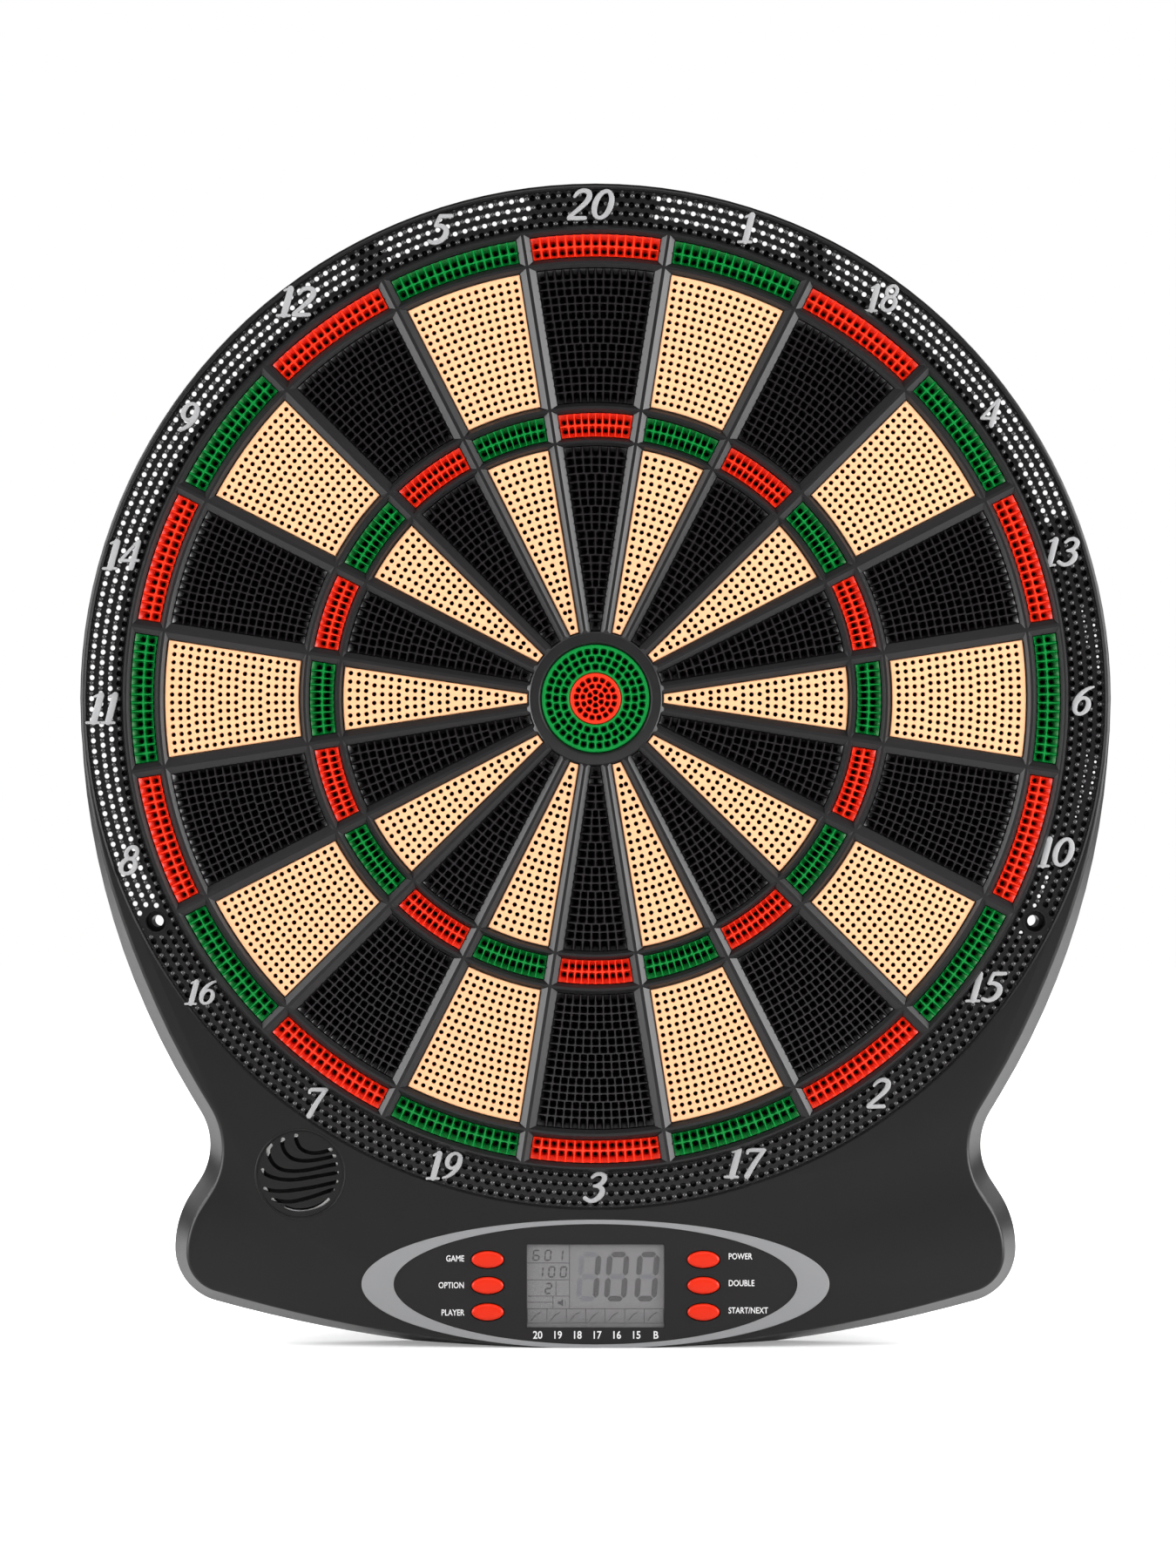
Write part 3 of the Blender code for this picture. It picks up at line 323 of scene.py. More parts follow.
def carved(mesh, *steps):
    """The mesh after cuts and joins, each a pair of operation and list of closed shapes."""
    base = shown(mesh.name, mesh)
    helpers = []
    for operation, meshes in steps:
        helper = shown("helper", joined_meshes("helper", meshes))
        helpers.append(helper)
        boolean = base.modifiers.new(operation, "BOOLEAN")
        boolean.operation = operation
        boolean.object = helper
        boolean.solver = "MANIFOLD"
    made = finished_mesh(base, mesh.name)
    if not made.polygons:
        raise RuntimeError(f"{mesh.name} came out empty")
    for helper in [base, *helpers]:
        bpy.data.objects.remove(helper, do_unlink=True)
    return made


def shaded(mesh, degrees=32):
    """Shades round faces smooth, with corners kept sharp."""
    mesh.shade_smooth()
    mesh.set_sharp_from_angle(angle=math.radians(degrees))
    return mesh


def copied(mesh, move):
    """A moved copy of a mesh."""
    copy = mesh.copy()
    copy.transform(move)
    return copy


# ---- outlines ---------------------------------------------------------------------------------------
def around(radius, clock):
    """The place at a radius and a clockwise angle from the top of the board."""
    return (radius * math.sin(clock), radius * math.cos(clock))


def circle(radius, centre=(0.0, 0.0), sides=ROUND_STEPS):
    """Points round a circle."""
    return ellipse((radius, radius), centre, sides)


def ellipse(half, centre, sides):
    """Points round an ellipse, whose half sizes are across and up."""
    turns = [2 * math.pi * i / sides for i in range(sides)]
    return [(centre[0] + half[0] * math.cos(a), centre[1] + half[1] * math.sin(a)) for a in turns]


def rounded_rectangle(x_range, z_range, radius):
    """An upright rectangle with round corners."""
    steps = 6
    points = []
    places = ((1, 1), (0, 1), (0, 0), (1, 0))
    for quarter, (right, top) in enumerate(places):
        x, z = x_range[right], z_range[top]
        inner_x = x - radius if right else x + radius
        inner_z = z - radius if top else z + radius
        for i in range(steps + 1):
            a = math.pi / 2 * (quarter + i / steps)
            points.append((inner_x + radius * math.cos(a), inner_z + radius * math.sin(a)))
    return points


def half_outline():
    """The housing's outline at the wall, from the top round the right side to the bottom, and the
    outward direction at each point."""
    place = Vector((0.0, TOP_R))
    heading = 0.0
    points = [(place.copy(), heading)]
    for side, size, turn in OUTLINE:
        if side == "ahead":
            place += size * Vector((math.cos(heading), -math.sin(heading)))
            points.append((place.copy(), heading))
            continue
        sign = 1 if side == "right" else -1
        steps = max(3, math.ceil(turn / ARC_STEP))
        centre = place + size * sign * Vector((-math.sin(heading), -math.cos(heading)))
        start = heading
        for i in range(1, steps + 1):
            heading = start + sign * math.radians(turn) * i / steps
            place = centre - size * sign * Vector((-math.sin(heading), -math.cos(heading)))
            points.append((place.copy(), heading))
    chin_r = place.x / math.sin(math.radians(CHIN_TURN))
    centre = Vector((0.0, place.y + chin_r * math.cos(math.radians(CHIN_TURN))))
    steps = 14
    for i in range(1, steps + 1):
        left = math.radians(CHIN_TURN) * (1 - i / steps)
        place = centre + chin_r * Vector((math.sin(left), -math.cos(left)))
        points.append((place.copy(), math.pi - left))
    return [(p, Vector((math.sin(h), math.cos(h)))) for p, h in points]


def flare(x, z):
    """How far the front edge lies inside the rear edge at a point of the outline."""
    level = min(1.0, max(0.0, z / FLARE_END_Z))
    full = FLARE_TOP + (FLARE_FOOT - FLARE_TOP) * level * level * (3 - 2 * level)
    if z > PANEL_Z:
        return full
    return FLARE_CHIN + (full - FLARE_CHIN) * min(1.0, abs(x) / FOOT_X)


def housing_outline(depth_share, inset=0.0):
    """The outline at a share of the way from the wall to the front face, moved inwards by inset."""
    right = []
    for place, outward in half_outline():
        moved = place - outward * (flare(place.x, place.y) * depth_share + inset)
        right.append((moved.x, moved.y))
    return right + [(-x, z) for x, z in reversed(right[1:-1])]


def bar_half_width(radius, ring):
    """Half the width of a radial bar of the web, at a radius within a ring."""
    if ring in (TREBLE, DOUBLE):
        return BAR_IN_NARROW_RINGS
    if ring is OUTER_SINGLE:
        return BAR_AT_DOUBLE
    share = (radius - INNER_SINGLE[0]) / (INNER_SINGLE[1] - INNER_SINGLE[0])
    return BAR_AT_BULL + (BAR_AT_TREBLE - BAR_AT_BULL) * share


def edge_angle(radius, ring, margin):
    """The angle from a sector's middle to a line that runs margin inside a segment's side."""
    return SECTOR / 2 - math.asin((bar_half_width(radius, ring) + margin) / radius)


def wedge(inner, outer, inner_half, outer_half):
    """Part of a ring round the top of the board, from angle -half to +half at each radius."""
    points = []
    for radius, half, way in ((outer, outer_half, 1), (inner, inner_half, -1)):
        points += [around(radius, way * half * (1 - 2 * i / ARC_STEPS)) for i in range(ARC_STEPS + 1)]
    return points


def segment_outline(ring, grow=0.0):
    """One scoring segment of a ring, in the sector at the top of the board."""
    inner = ring[0] - grow
    outer = ring[1] + grow
    return wedge(inner, outer, edge_angle(inner, ring, -grow), edge_angle(outer, ring, -grow))


def mouth_outline(ring):
    """The front of the web's window for a segment: it reaches to the ridges round it."""
    edges = [INNER_SINGLE[0] - 1.3 * MM]
    edges += [(a[1] + b[0]) / 2 for a, b in zip(RINGS, RINGS[1:])]
    edges += [WEB_R - 1.1 * MM]
    i = RINGS.index(ring)
    inner = edges[i] + RIDGE
    outer = edges[i + 1] - RIDGE
    halves = [SECTOR / 2 - math.asin(RIDGE / r) for r in (inner, outer)]
    return wedge(inner, outer, *halves)


# ---- materials --------------------------------------------------------------------------------------
def node_of(material, kind, values=()):
    """A new shader node of a material or world, with values for its sockets."""
    made = material.node_tree.nodes.new("ShaderNode" + kind)
    for socket, value in values:
        made.inputs[socket].default_value = value
    return made


def plastic(name, colour, roughness, grain, depth, mottle, specular, metallic=0.0):
    """A moulded plastic or similar: a slight mottle of its colour and roughness, and a fine grain."""
    made = bpy.data.materials.new(name)
    made.use_nodes = True
    links = made.node_tree.links
    shader = made.node_tree.nodes["Principled BSDF"]
    place = node_of(made, "TexCoord")
    blotches = node_of(made, "TexNoise", (("Scale", 45.0), ("Detail", 4.0)))
    links.new(place.outputs["Object"], blotches.inputs["Vector"])
    tint = node_of(made, "Mix")
    tint.data_type = "RGBA"
    tint.inputs["A"].default_value = (*[c * (1 - mottle) for c in colour], 1)
    tint.inputs["B"].default_value = (*[min(1.0, c * (1 + mottle)) for c in colour], 1)
    links.new(blotches.outputs["Fac"], tint.inputs["Factor"])
    links.new(tint.outputs["Result"], shader.inputs["Base Color"])
    fine = node_of(made, "TexNoise", (("Scale", grain), ("Detail", 2.0)))
    links.new(place.outputs["Object"], fine.inputs["Vector"])
    rough = (("To Min", roughness * 0.88), ("To Max", min(1.0, roughness * 1.12)))
    spread = node_of(made, "MapRange", rough)
    links.new(fine.outputs["Fac"], spread.inputs["Value"])
    links.new(spread.outputs["Result"], shader.inputs["Roughness"])
    bump = node_of(made, "Bump", (("Strength", 0.25), ("Distance", depth * MM)))
    links.new(fine.outputs["Fac"], bump.inputs["Height"])
    links.new(bump.outputs["Normal"], shader.inputs["Normal"])
    shader.inputs["Specular IOR Level"].default_value = specular
    shader.inputs["Metallic"].default_value = metallic
    return made


def darken_downwards(material, low, high, share):
    """Multiplies a material's colour by a share at height low, rising to 1 at height high."""
    links = material.node_tree.links
    shader = material.node_tree.nodes["Principled BSDF"]
    colour = shader.inputs["Base Color"].links[0].from_socket
    place = node_of(material, "TexCoord")
    parts = node_of(material, "SeparateXYZ")
    links.new(place.outputs["Object"], parts.inputs["Vector"])
    limits = (("From Min", low), ("From Max", high), ("To Min", share), ("To Max", 1.0))
    spread = node_of(material, "MapRange", limits)
    links.new(parts.outputs["Z"], spread.inputs["Value"])
    scaled = node_of(material, "VectorMath")
    scaled.operation = "SCALE"
    links.new(colour, scaled.inputs[0])
    links.new(spread.outputs["Result"], scaled.inputs["Scale"])
    links.new(scaled.outputs["Vector"], shader.inputs["Base Color"])


FINISHES = (  # name, colour, roughness, grain, its depth, mottle, specular, metallic
    ("black_plastic", (0.0062, 0.0059, 0.0059), 0.33, 1400, 0.03, 0.10, 0.30),
    ("ring_plastic", (0.0070, 0.0064, 0.0068), 0.30, 2000, 0.015, 0.10, 0.35),
    # The studs are the ring's own black plastic, made lighter: their colour is a painted highlight that
    # stands in for the glints on them.
    ("stud_plastic", (0.0300, 0.0290, 0.0300), 0.25, 2000, 0.015, 0.10, 0.75),
    ("spider_grey", (0.0105, 0.0100, 0.0106), 0.33, 2200, 0.015, 0.06, 0.42),
    ("segment_red", (0.80, 0.030, 0.008), 0.32, 2600, 0.02, 0.05, 0.35),
    ("segment_green", (0.0018, 0.185, 0.030), 0.32, 2600, 0.02, 0.05, 0.30),
    ("segment_tan", (0.82, 0.430, 0.230), 0.50, 900, 0.03, 0.035, 0.25),
    ("segment_black", (0.0062, 0.0050, 0.0056), 0.30, 2200, 0.02, 0.08, 0.75),
    ("button_red", (0.60, 0.019, 0.003), 0.35, 2600, 0.02, 0.03, 0.25),
    ("panel_silver", (0.215, 0.217, 0.222), 0.45, 3200, 0.02, 0.03, 0.3),
    ("numeral_silver", (0.315, 0.315, 0.32), 0.42, 1500, 0.06, 0.10, 0.4),
    ("panel_black", (0.0085, 0.0080, 0.0085), 0.40, 3200, 0.01, 0.05, 0.3),
    ("print_white", (0.62, 0.62, 0.62), 0.55, 3200, 0.01, 0.03, 0.3),
    ("lcd_glass", (0.125, 0.120, 0.124), 0.5, 3200, 0.0, 0.03, 0.1),
    ("lcd_ink", (0.019, 0.016, 0.018), 0.5, 3200, 0.0, 0.03, 0.1),
    ("lcd_ghost", (0.088, 0.088, 0.098), 0.5, 3200, 0.0, 0.03, 0.1),
    ("circuit_board", (0.02, 0.16, 0.06), 0.45, 700, 0.03, 0.25, 0.5),
    ("chip_resin", (0.01, 0.01, 0.01), 0.2, 300, 0.03, 0.1, 0.5),
    ("keypad_rubber", (0.25, 0.25, 0.26), 0.8, 1600, 0.04, 0.06, 0.3),
    ("foam", (0.05, 0.05, 0.055), 0.95, 900, 0.3, 0.3, 0.1),
    ("sensor_film", (0.020, 0.019, 0.018), 0.5, 1500, 0.01, 0.08, 0.3),
    ("paper_cone", (0.012, 0.012, 0.012), 0.9, 1200, 0.05, 0.2, 0.1),
    ("steel", (0.56, 0.56, 0.55), 0.32, 1800, 0.01, 0.05, 0.5, 1.0),
    ("battery_wrap", (0.03, 0.10, 0.30), 0.3, 900, 0.01, 0.05, 0.5, 0.2),
    ("battery_band", (0.55, 0.42, 0.20), 0.3, 900, 0.01, 0.05, 0.5, 0.6),
    ("wire_insulation", (0.45, 0.02, 0.02), 0.5, 1600, 0.02, 0.08, 0.4),
    ("clear_window", (0.75, 0.76, 0.76), 0.12, 600, 0.0, 0.02, 0.5),
)
WINDOW_OPACITY = 0.05


def make_materials():
    """Every finish of the board. The display's glass carries painted shade: its colour darkens towards its
    lower edge.
    """
    made = {name: plastic(name, *values) for name, *values in FINISHES}
    # Painted shade on the display's glass: its colour is darker towards the lower edge, where the bezel
    # shades it.
    darken_downwards(made["lcd_glass"], LCD_Z - LCD_HALF[1], LCD_Z - 6 * MM, 0.5)
    window = made["clear_window"]
    window.node_tree.nodes["Principled BSDF"].inputs["Alpha"].default_value = WINDOW_OPACITY
    window.surface_render_method = "BLENDED"
    return made


MATERIALS = make_materials()


def piece(name, mesh, body, finish, replaces=(), turn=0.0):
    """A visible piece: placed, given its finish, and riding on its body."""
    mesh.materials.clear()
    mesh.materials.append(MATERIALS[finish])
    made = shown(name, mesh)
    made.rotation_euler = (0, turn, 0)
    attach(made, body)
    if replaces:
        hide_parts(*replaces)
    return made


# ---- scoring segments --------------------------------------------------------------------------------
FUNNEL_TURNS = [2 * math.pi * (i + 0.5) / 12 for i in range(12)]  # the angles of a funnel's points


def cell_ring(low, high, left, right, squareness):
    """Points round one funnel's mouth, a rounded square between two radii and two angles."""
    points = []
    for a in FUNNEL_TURNS:
        c, s = math.cos(a), math.sin(a)
        reach = (abs(c) ** squareness + abs(s) ** squareness) ** (-1 / squareness)
        across, up = c * reach, s * reach
        angle = (left + right) / 2 + (right - left) / 2 * across
        radius = (low + high) / 2 + (high - low) / 2 * up
        points.append(around(radius, angle))
    return points


def hole_ring(centre, ring_r, angle):
    """Points round a tip hole, one for each point of its mouth."""
    ring = []
    for a in FUNNEL_TURNS:
        across, up = ring_r * math.cos(a), ring_r * math.sin(a)
        ring.append((
            centre[0] + across * math.cos(angle) + up * math.sin(angle),
            centre[1] - across * math.sin(angle) + up * math.cos(angle),
        ))
    return ring


def funnel(radius, angle, low, high, left, right, hole_r, squareness=7.0):
    """A cutter for one tip hole: a squarish mouth that narrows to a round hole through the segment."""
    centre = around(radius, angle)
    mouth = cell_ring(low, high, left, right, squareness)
    return loft("funnel", (
        (mouth, SEGMENT_FACE + 0.3 * MM),
        (mouth, SEGMENT_FACE - 0.05 * MM),
        (hole_ring(centre, hole_r, angle), SEGMENT_FACE - FUNNEL_DEPTH),
        (hole_ring(centre, hole_r * HOLE_TAPER, angle), FLANGE_BACK - MM),
    ))


def row_counts(ring):
    """Each row of tip holes of a ring, from the bull outwards: its radius and number of holes."""
    if ring is DOUBLE:
        return [(DOUBLE[0] + 2.0 * MM, 15), (DOUBLE[0] + 5.3 * MM, 15)]
    if ring is TREBLE:
        return [(TREBLE[0] + 2.5 * MM, 10), (TREBLE[0] + 5.9 * MM, 10)]
    if ring is OUTER_SINGLE:
        rows = 16
        first = OUTER_SINGLE[0] + 2.5 * MM
        pitch = (OUTER_SINGLE[1] - 2.6 * MM - first) / (rows - 1)
        return [(first + pitch * i, 10 + int(i * 5 / rows)) for i in range(rows)]
    rows = 22
    first = INNER_SINGLE[0] + 2.3 * MM
    pitch = (INNER_SINGLE[1] - 2.4 * MM - first) / (rows - 1)
    counts = []
    for i in range(rows):
        radius = first + pitch * i
        width = 2 * radius * edge_angle(radius, ring, 1.7 * MM)
        counts.append((radius, max(1, round(width / (3.1 * MM)) + 1)))
    return counts


def hole_angles(radius, ring, count, margin):
    """The angles of a row's holes, spread evenly from side to side."""
    if count == 1:
        return [0.0]
    half = edge_angle(radius, ring, margin)
    return [half * (2 * i / (count - 1) - 1) for i in range(count)]


def funnel_cutters(ring):
    """All the funnels of one segment. Those at its edge run out over the edge."""
    rows = row_counts(ring)
    hole_r = WIDE_HOLE_R if ring in (TREBLE, DOUBLE) else TIP_HOLE_R
    beyond = 1.3 * MM
    cutters = []
    for i, (radius, count) in enumerate(rows):
        low = ring[0] - beyond if i == 0 else (rows[i - 1][0] + radius) / 2 + CELL_RIDGE
        high = ring[1] + beyond if i == len(rows) - 1 else (rows[i + 1][0] + radius) / 2 - CELL_RIDGE
        angles = hole_angles(radius, ring, count, 1.75 * MM)
        side = edge_angle(radius, ring, -beyond)
        for j, angle in enumerate(angles):
            left = -side if j == 0 else (angles[j - 1] + angle) / 2 + CELL_RIDGE / radius
            right = side if j == count - 1 else (angles[j + 1] + angle) / 2 - CELL_RIDGE / radius
            cutters.append(funnel(radius, angle, low, high, left, right, hole_r))
    return cutters


def segment_blank(name, ring, chamfer):
    """A segment before its holes: its block, with a flange behind the web."""
    outline = segment_outline(ring)
    flange = segment_outline(ring, 0.8 * MM)
    return loft(name, (
        (segment_outline(ring, -chamfer), SEGMENT_FACE),
        (outline, SEGMENT_FACE - chamfer),
        (outline, FLANGE_FRONT),
        (flange, FLANGE_FRONT - 0.01 * MM),
        (flange, FLANGE_BACK),
    ))


def funnelled_segment(ring):
    """A black, red or green segment, whose tip holes have wide mouths with thin ridges between."""
    return shaded(carved(segment_blank("funnelled", ring, 0.08 * MM), ("DIFFERENCE", funnel_cutters(ring))))


def plain_segment(ring):
    """A tan segment: a smooth face with small round holes."""
    cutters = []
    for radius, count in row_counts(ring):
        for angle in hole_angles(radius, ring, count, 1.9 * MM):
            place = around(radius, angle)
            cutters.append(rod("hole", *place, PLAIN_HOLE_R, SEGMENT_FACE + MM, FLANGE_BACK - MM, 14))
    return shaded(carved(segment_blank("plain", ring, 0.3 * MM), ("DIFFERENCE", cutters)))


def make_segments():
    """The 80 segments round the bull, four to each number."""
    coloured = {}
    for ring in RINGS:
        shape = funnelled_segment(ring)
        for finish in ("segment_black", "segment_red", "segment_green"):
            coloured[ring, finish] = shape.copy()
    for ring in (INNER_SINGLE, OUTER_SINGLE):
        coloured[ring, "segment_tan"] = plain_segment(ring)
    for i, number in enumerate(NUMBERS):
        single = "segment_black" if i % 2 == 0 else "segment_tan"
        scoring = "segment_red" if i % 2 == 0 else "segment_green"
        body = f"segments_{number}"
        rows = (
            ("double", DOUBLE, scoring),
            ("outer_single", OUTER_SINGLE, single),
            ("treble", TREBLE, scoring),
            ("inner_single", INNER_SINGLE, single),
        )
        for name, ring, finish in rows:
            replaced = (body,) if ring is OUTER_SINGLE else ()
            mesh = coloured[ring, finish]
            piece(f"{name}_{number}", mesh, body, finish, replaces=replaced, turn=SECTOR * i)


def bull_cutters(rings, first_edge, last_edge):
    """Tip holes in rings round the bull, with staggered rounded mouths between two edges."""
    cutters = []
    for k, (radius, count) in enumerate(rings):
        low = first_edge if k == 0 else (rings[k - 1][0] + radius) / 2 + CELL_RIDGE
        high = last_edge if k == len(rings) - 1 else (rings[k + 1][0] + radius) / 2 - CELL_RIDGE
        for j in range(count):
            angle = 2 * math.pi * (j + 0.5 * (k % 2)) / count
            half = math.pi / count - CELL_RIDGE / radius
            cutters.append(funnel(radius, angle, low, high, angle - half, angle + half, TIP_HOLE_R, 4.0))
    return cutters


def make_bulls():
    """The red inner bull and the green outer bull round it."""
    edge = 0.35 * MM
    inner_flange = INNER_BULL_R + 1.5 * MM
    inner = turned("inner_bull", (
        (0, SEGMENT_FACE),
        (INNER_BULL_R - edge, SEGMENT_FACE),
        (INNER_BULL_R, SEGMENT_FACE - edge),
        (INNER_BULL_R, FLANGE_FRONT),
        (inner_flange, FLANGE_FRONT),
        (inner_flange, FLANGE_BACK),
        (0, FLANGE_BACK),
    ), 96)
    floor = SEGMENT_FACE - FUNNEL_DEPTH
    middle = rod("middle", 0, 0, 1.1 * MM, SEGMENT_FACE + 0.3 * MM, floor, 12, TIP_HOLE_R)
    through = rod("through", 0, 0, TIP_HOLE_R, SEGMENT_FACE - 0.9 * MM, FLANGE_BACK - MM, 12)
    rings = ((2.45 * MM, 6), (4.75 * MM, 11), (7.1 * MM, 17))
    cutters = bull_cutters(rings, 1.35 * MM, 8.3 * MM)
    mesh = shaded(carved(inner, ("DIFFERENCE", cutters), ("DIFFERENCE", [middle]), ("DIFFERENCE", [through])))
    piece("inner_bull_target", mesh, "inner_bull", "segment_red", replaces=("inner_bull",))

    bore = inner_flange + 0.4 * MM
    step = FLANGE_FRONT + TRAVEL + 0.3 * MM
    throat = INNER_BULL_R + 0.3 * MM
    flange = 25.4 * MM
    outer = turned("outer_bull", (
        (OUTER_BULL_R - edge, SEGMENT_FACE),
        (OUTER_BULL_R, SEGMENT_FACE - edge),
        (OUTER_BULL_R, FLANGE_FRONT),
        (flange, FLANGE_FRONT),
        (flange, FLANGE_BACK),
        (bore, FLANGE_BACK),
        (bore, step),
        (throat, step),
        (throat, SEGMENT_FACE - edge),
        (throat + edge, SEGMENT_FACE),
    ), 144)
    rings = ((11.9 * MM, 24), (14.8 * MM, 30), (17.55 * MM, 37))
    mesh = shaded(carved(outer, ("DIFFERENCE", bull_cutters(rings, 10.6 * MM, 18.9 * MM))))
    piece("outer_bull_target", mesh, "outer_bull", "segment_green", replaces=("outer_bull",))


def make_web():
    """The spider web: bars with two sloping sides and a narrow ridge, mitred where they cross."""
    above = WEB_FRONT + 0.2 * MM
    windows = []
    for ring in RINGS:
        throat = segment_outline(ring, WINDOW_CLEARANCE)
        window = loft("window", ((mouth_outline(ring), above), (throat, WEB_SLOPE), (throat, WEB_BACK - MM)))
        windows += [copied(window, Matrix.Rotation(SECTOR * i, 4, "Y")) for i in range(len(NUMBERS))]
    disc = turned("spider_web", (
        (0, WEB_FRONT),
        (WEB_R - 0.9 * MM, WEB_FRONT),
        (WEB_R, WEB_FRONT - 1.4 * MM),
        (WEB_R, WEB_BACK),
        (0, WEB_BACK),
    ))
    hole_r = OUTER_BULL_R + WINDOW_CLEARANCE
    bull_window = turned("bull_window", (
        (0, above),
        (hole_r + 1.5 * MM, above),
        (hole_r, WEB_SLOPE),
        (hole_r, WEB_BACK - MM),
        (0, WEB_BACK - MM),
    ), 144)
    step = turned("step", (
        (0, above),
        (26.0 * MM, above),
        (24.5 * MM, WEB_SLOPE + 0.5 * MM),
        (21.6 * MM, WEB_SLOPE + 0.9 * MM),
        (0, WEB_SLOPE + 0.9 * MM),
    ), 160)
    cuts = (("DIFFERENCE", windows), ("DIFFERENCE", [step]), ("DIFFERENCE", [bull_window]))
    mesh = shaded(carved(disc, *cuts), 12)
    piece("spider", mesh, "board", "spider_grey", replaces=("spider_web",))


# ---- number ring --------------------------------------------------------------------------------------
def ring_hole_radius(clock, row):
    """The radius of a through hole of the number ring, or None where a part behind closes it."""
    degrees = math.degrees(clock)
    if row == len(RING_ROWS) - 1:
        return None
    if -118 < degrees < -7.4 and abs(degrees + 27.3) > 1.5:
        return RING_HOLE_R
    if 6.6 < degrees < 69 and abs(degrees - 25.6) > 1.5:
        return RING_HOLE_R
    if row == 0 and (80.5 < degrees < 87 or 96.5 < degrees < 101):
        return 0.55 * RING_HOLE_R
    if row == 1 and (79 < degrees < 84 or 96 < degrees < 104):
        return 0.38 * RING_HOLE_R
    if row == 2 and (111.5 < degrees < 115.4 or 118.4 < degrees < 121):
        return 0.75 * RING_HOLE_R
    return None


def off_mount(place):
    """The distance from a place to the nearer of the two wall-screw holes."""
    return math.hypot(abs(place[0]) - MOUNT_HOLE[0], place[1] - MOUNT_HOLE[1])


def ring_mouth(place, through):
    """A cutter for one hole of the number ring. A hole with no radius of its own ends in a cup."""
    mouth = circle(1.25 * MM, place, 12)
    hole = circle(through or RING_HOLE_R, place, 12)
    back = CUP_BACK if through is None else RING_BACK - MM
    return loft("mouth", ((mouth, RING_FRONT + 0.2 * MM), (hole, RING_FRONT - 0.8 * MM), (hole, back)))


def make_number_ring():
    """The perforated number ring, with funnel-shaped holes in staggered rows and studs between."""
    plate = turned("number_ring", (
        (RING_R - 0.02 * MM, RING_FRONT),
        (RING_R - 0.02 * MM, RING_BACK),
        (TUBE_R[1], RING_BACK),
        (TUBE_R[1], TUBE_BACK),
        (TUBE_R[0], TUBE_BACK),
        (TUBE_R[0], RING_FRONT),
    ), 360)
    mouths, studs, cups = [], [], []
    for row, radius in enumerate(RING_ROWS):
        for i in range(RING_HOLES):
            clock = 2 * math.pi * (i + 0.5 * (row % 2)) / RING_HOLES
            clock = clock if clock <= math.pi else clock - 2 * math.pi
            place = around(radius, clock)
            if off_mount(place) > 5.4 * MM:
                through = ring_hole_radius(clock, row)
                mouths.append(ring_mouth(place, through))
                if through is None:
                    cups.append(rod("cup", *place, 1.35 * MM, RING_BACK + MM, CUP_BACK - 0.6 * MM, 10))
            clock += math.pi / RING_HOLES
            place = around(radius, clock)
            if off_mount(place) > 5.6 * MM:
                sections = [(circle(r * MM, place, 10), RING_FRONT + above * MM) for r, above in STUD]
                studs.append(loft("stud", sections))
    for i in range(RING_HOLES):
        place = around(RIM_BUMPS_R, 2 * math.pi * (i + 0.5) / RING_HOLES)
        front, back = RING_FRONT + 0.8 * MM, RING_FRONT - 0.1 * MM
        studs.append(rod("bump", *place, 0.15 * MM, front, back, 6, 0.6 * MM))
    places = [(side * MOUNT_HOLE[0], MOUNT_HOLE[1]) for side in (-1, 1)]
    bosses = [rod("boss", x, z, MOUNT_SLEEVE_R, RING_FRONT + 0.3 * MM, 0.0, 40) for x, z in places]
    sinks = [rod("sink", x, z, 3.9 * MM, RING_FRONT + 0.4 * MM, 14 * MM, 40, 3.6 * MM) for x, z in places]
    bores = [rod("bore", x, z, MOUNT_HOLE_R, RING_FRONT, -MM, 32) for x, z in places]
    mesh = carved(
        plate,
        ("UNION", cups),
        ("DIFFERENCE", mouths),
        ("UNION", bosses),
        ("DIFFERENCE", sinks),
        ("DIFFERENCE", bores),
    )
    piece("number_ring", shaded(mesh), "board", "ring_plastic")
    mesh = shaded(joined_meshes("ring_studs", studs), 60)
    # The studs' lighter colour is a painted highlight on the ring's own plastic.
    piece("ring_studs", mesh, "board", "stud_plastic")


# ---- numerals ---------------------------------------------------------------------------------------
SLANT = 0.27  # how far a numeral leans to the right, for each unit of its height
NUMERAL_R = 183.6 * MM
NUMERAL_FRONT = RING_FRONT + 1.75 * MM
DRAWN_HEIGHT = 12.0
NARROW_DIGIT = 4.6
WIDE_DIGIT = 7.6
DIGIT_GAP = 0.8
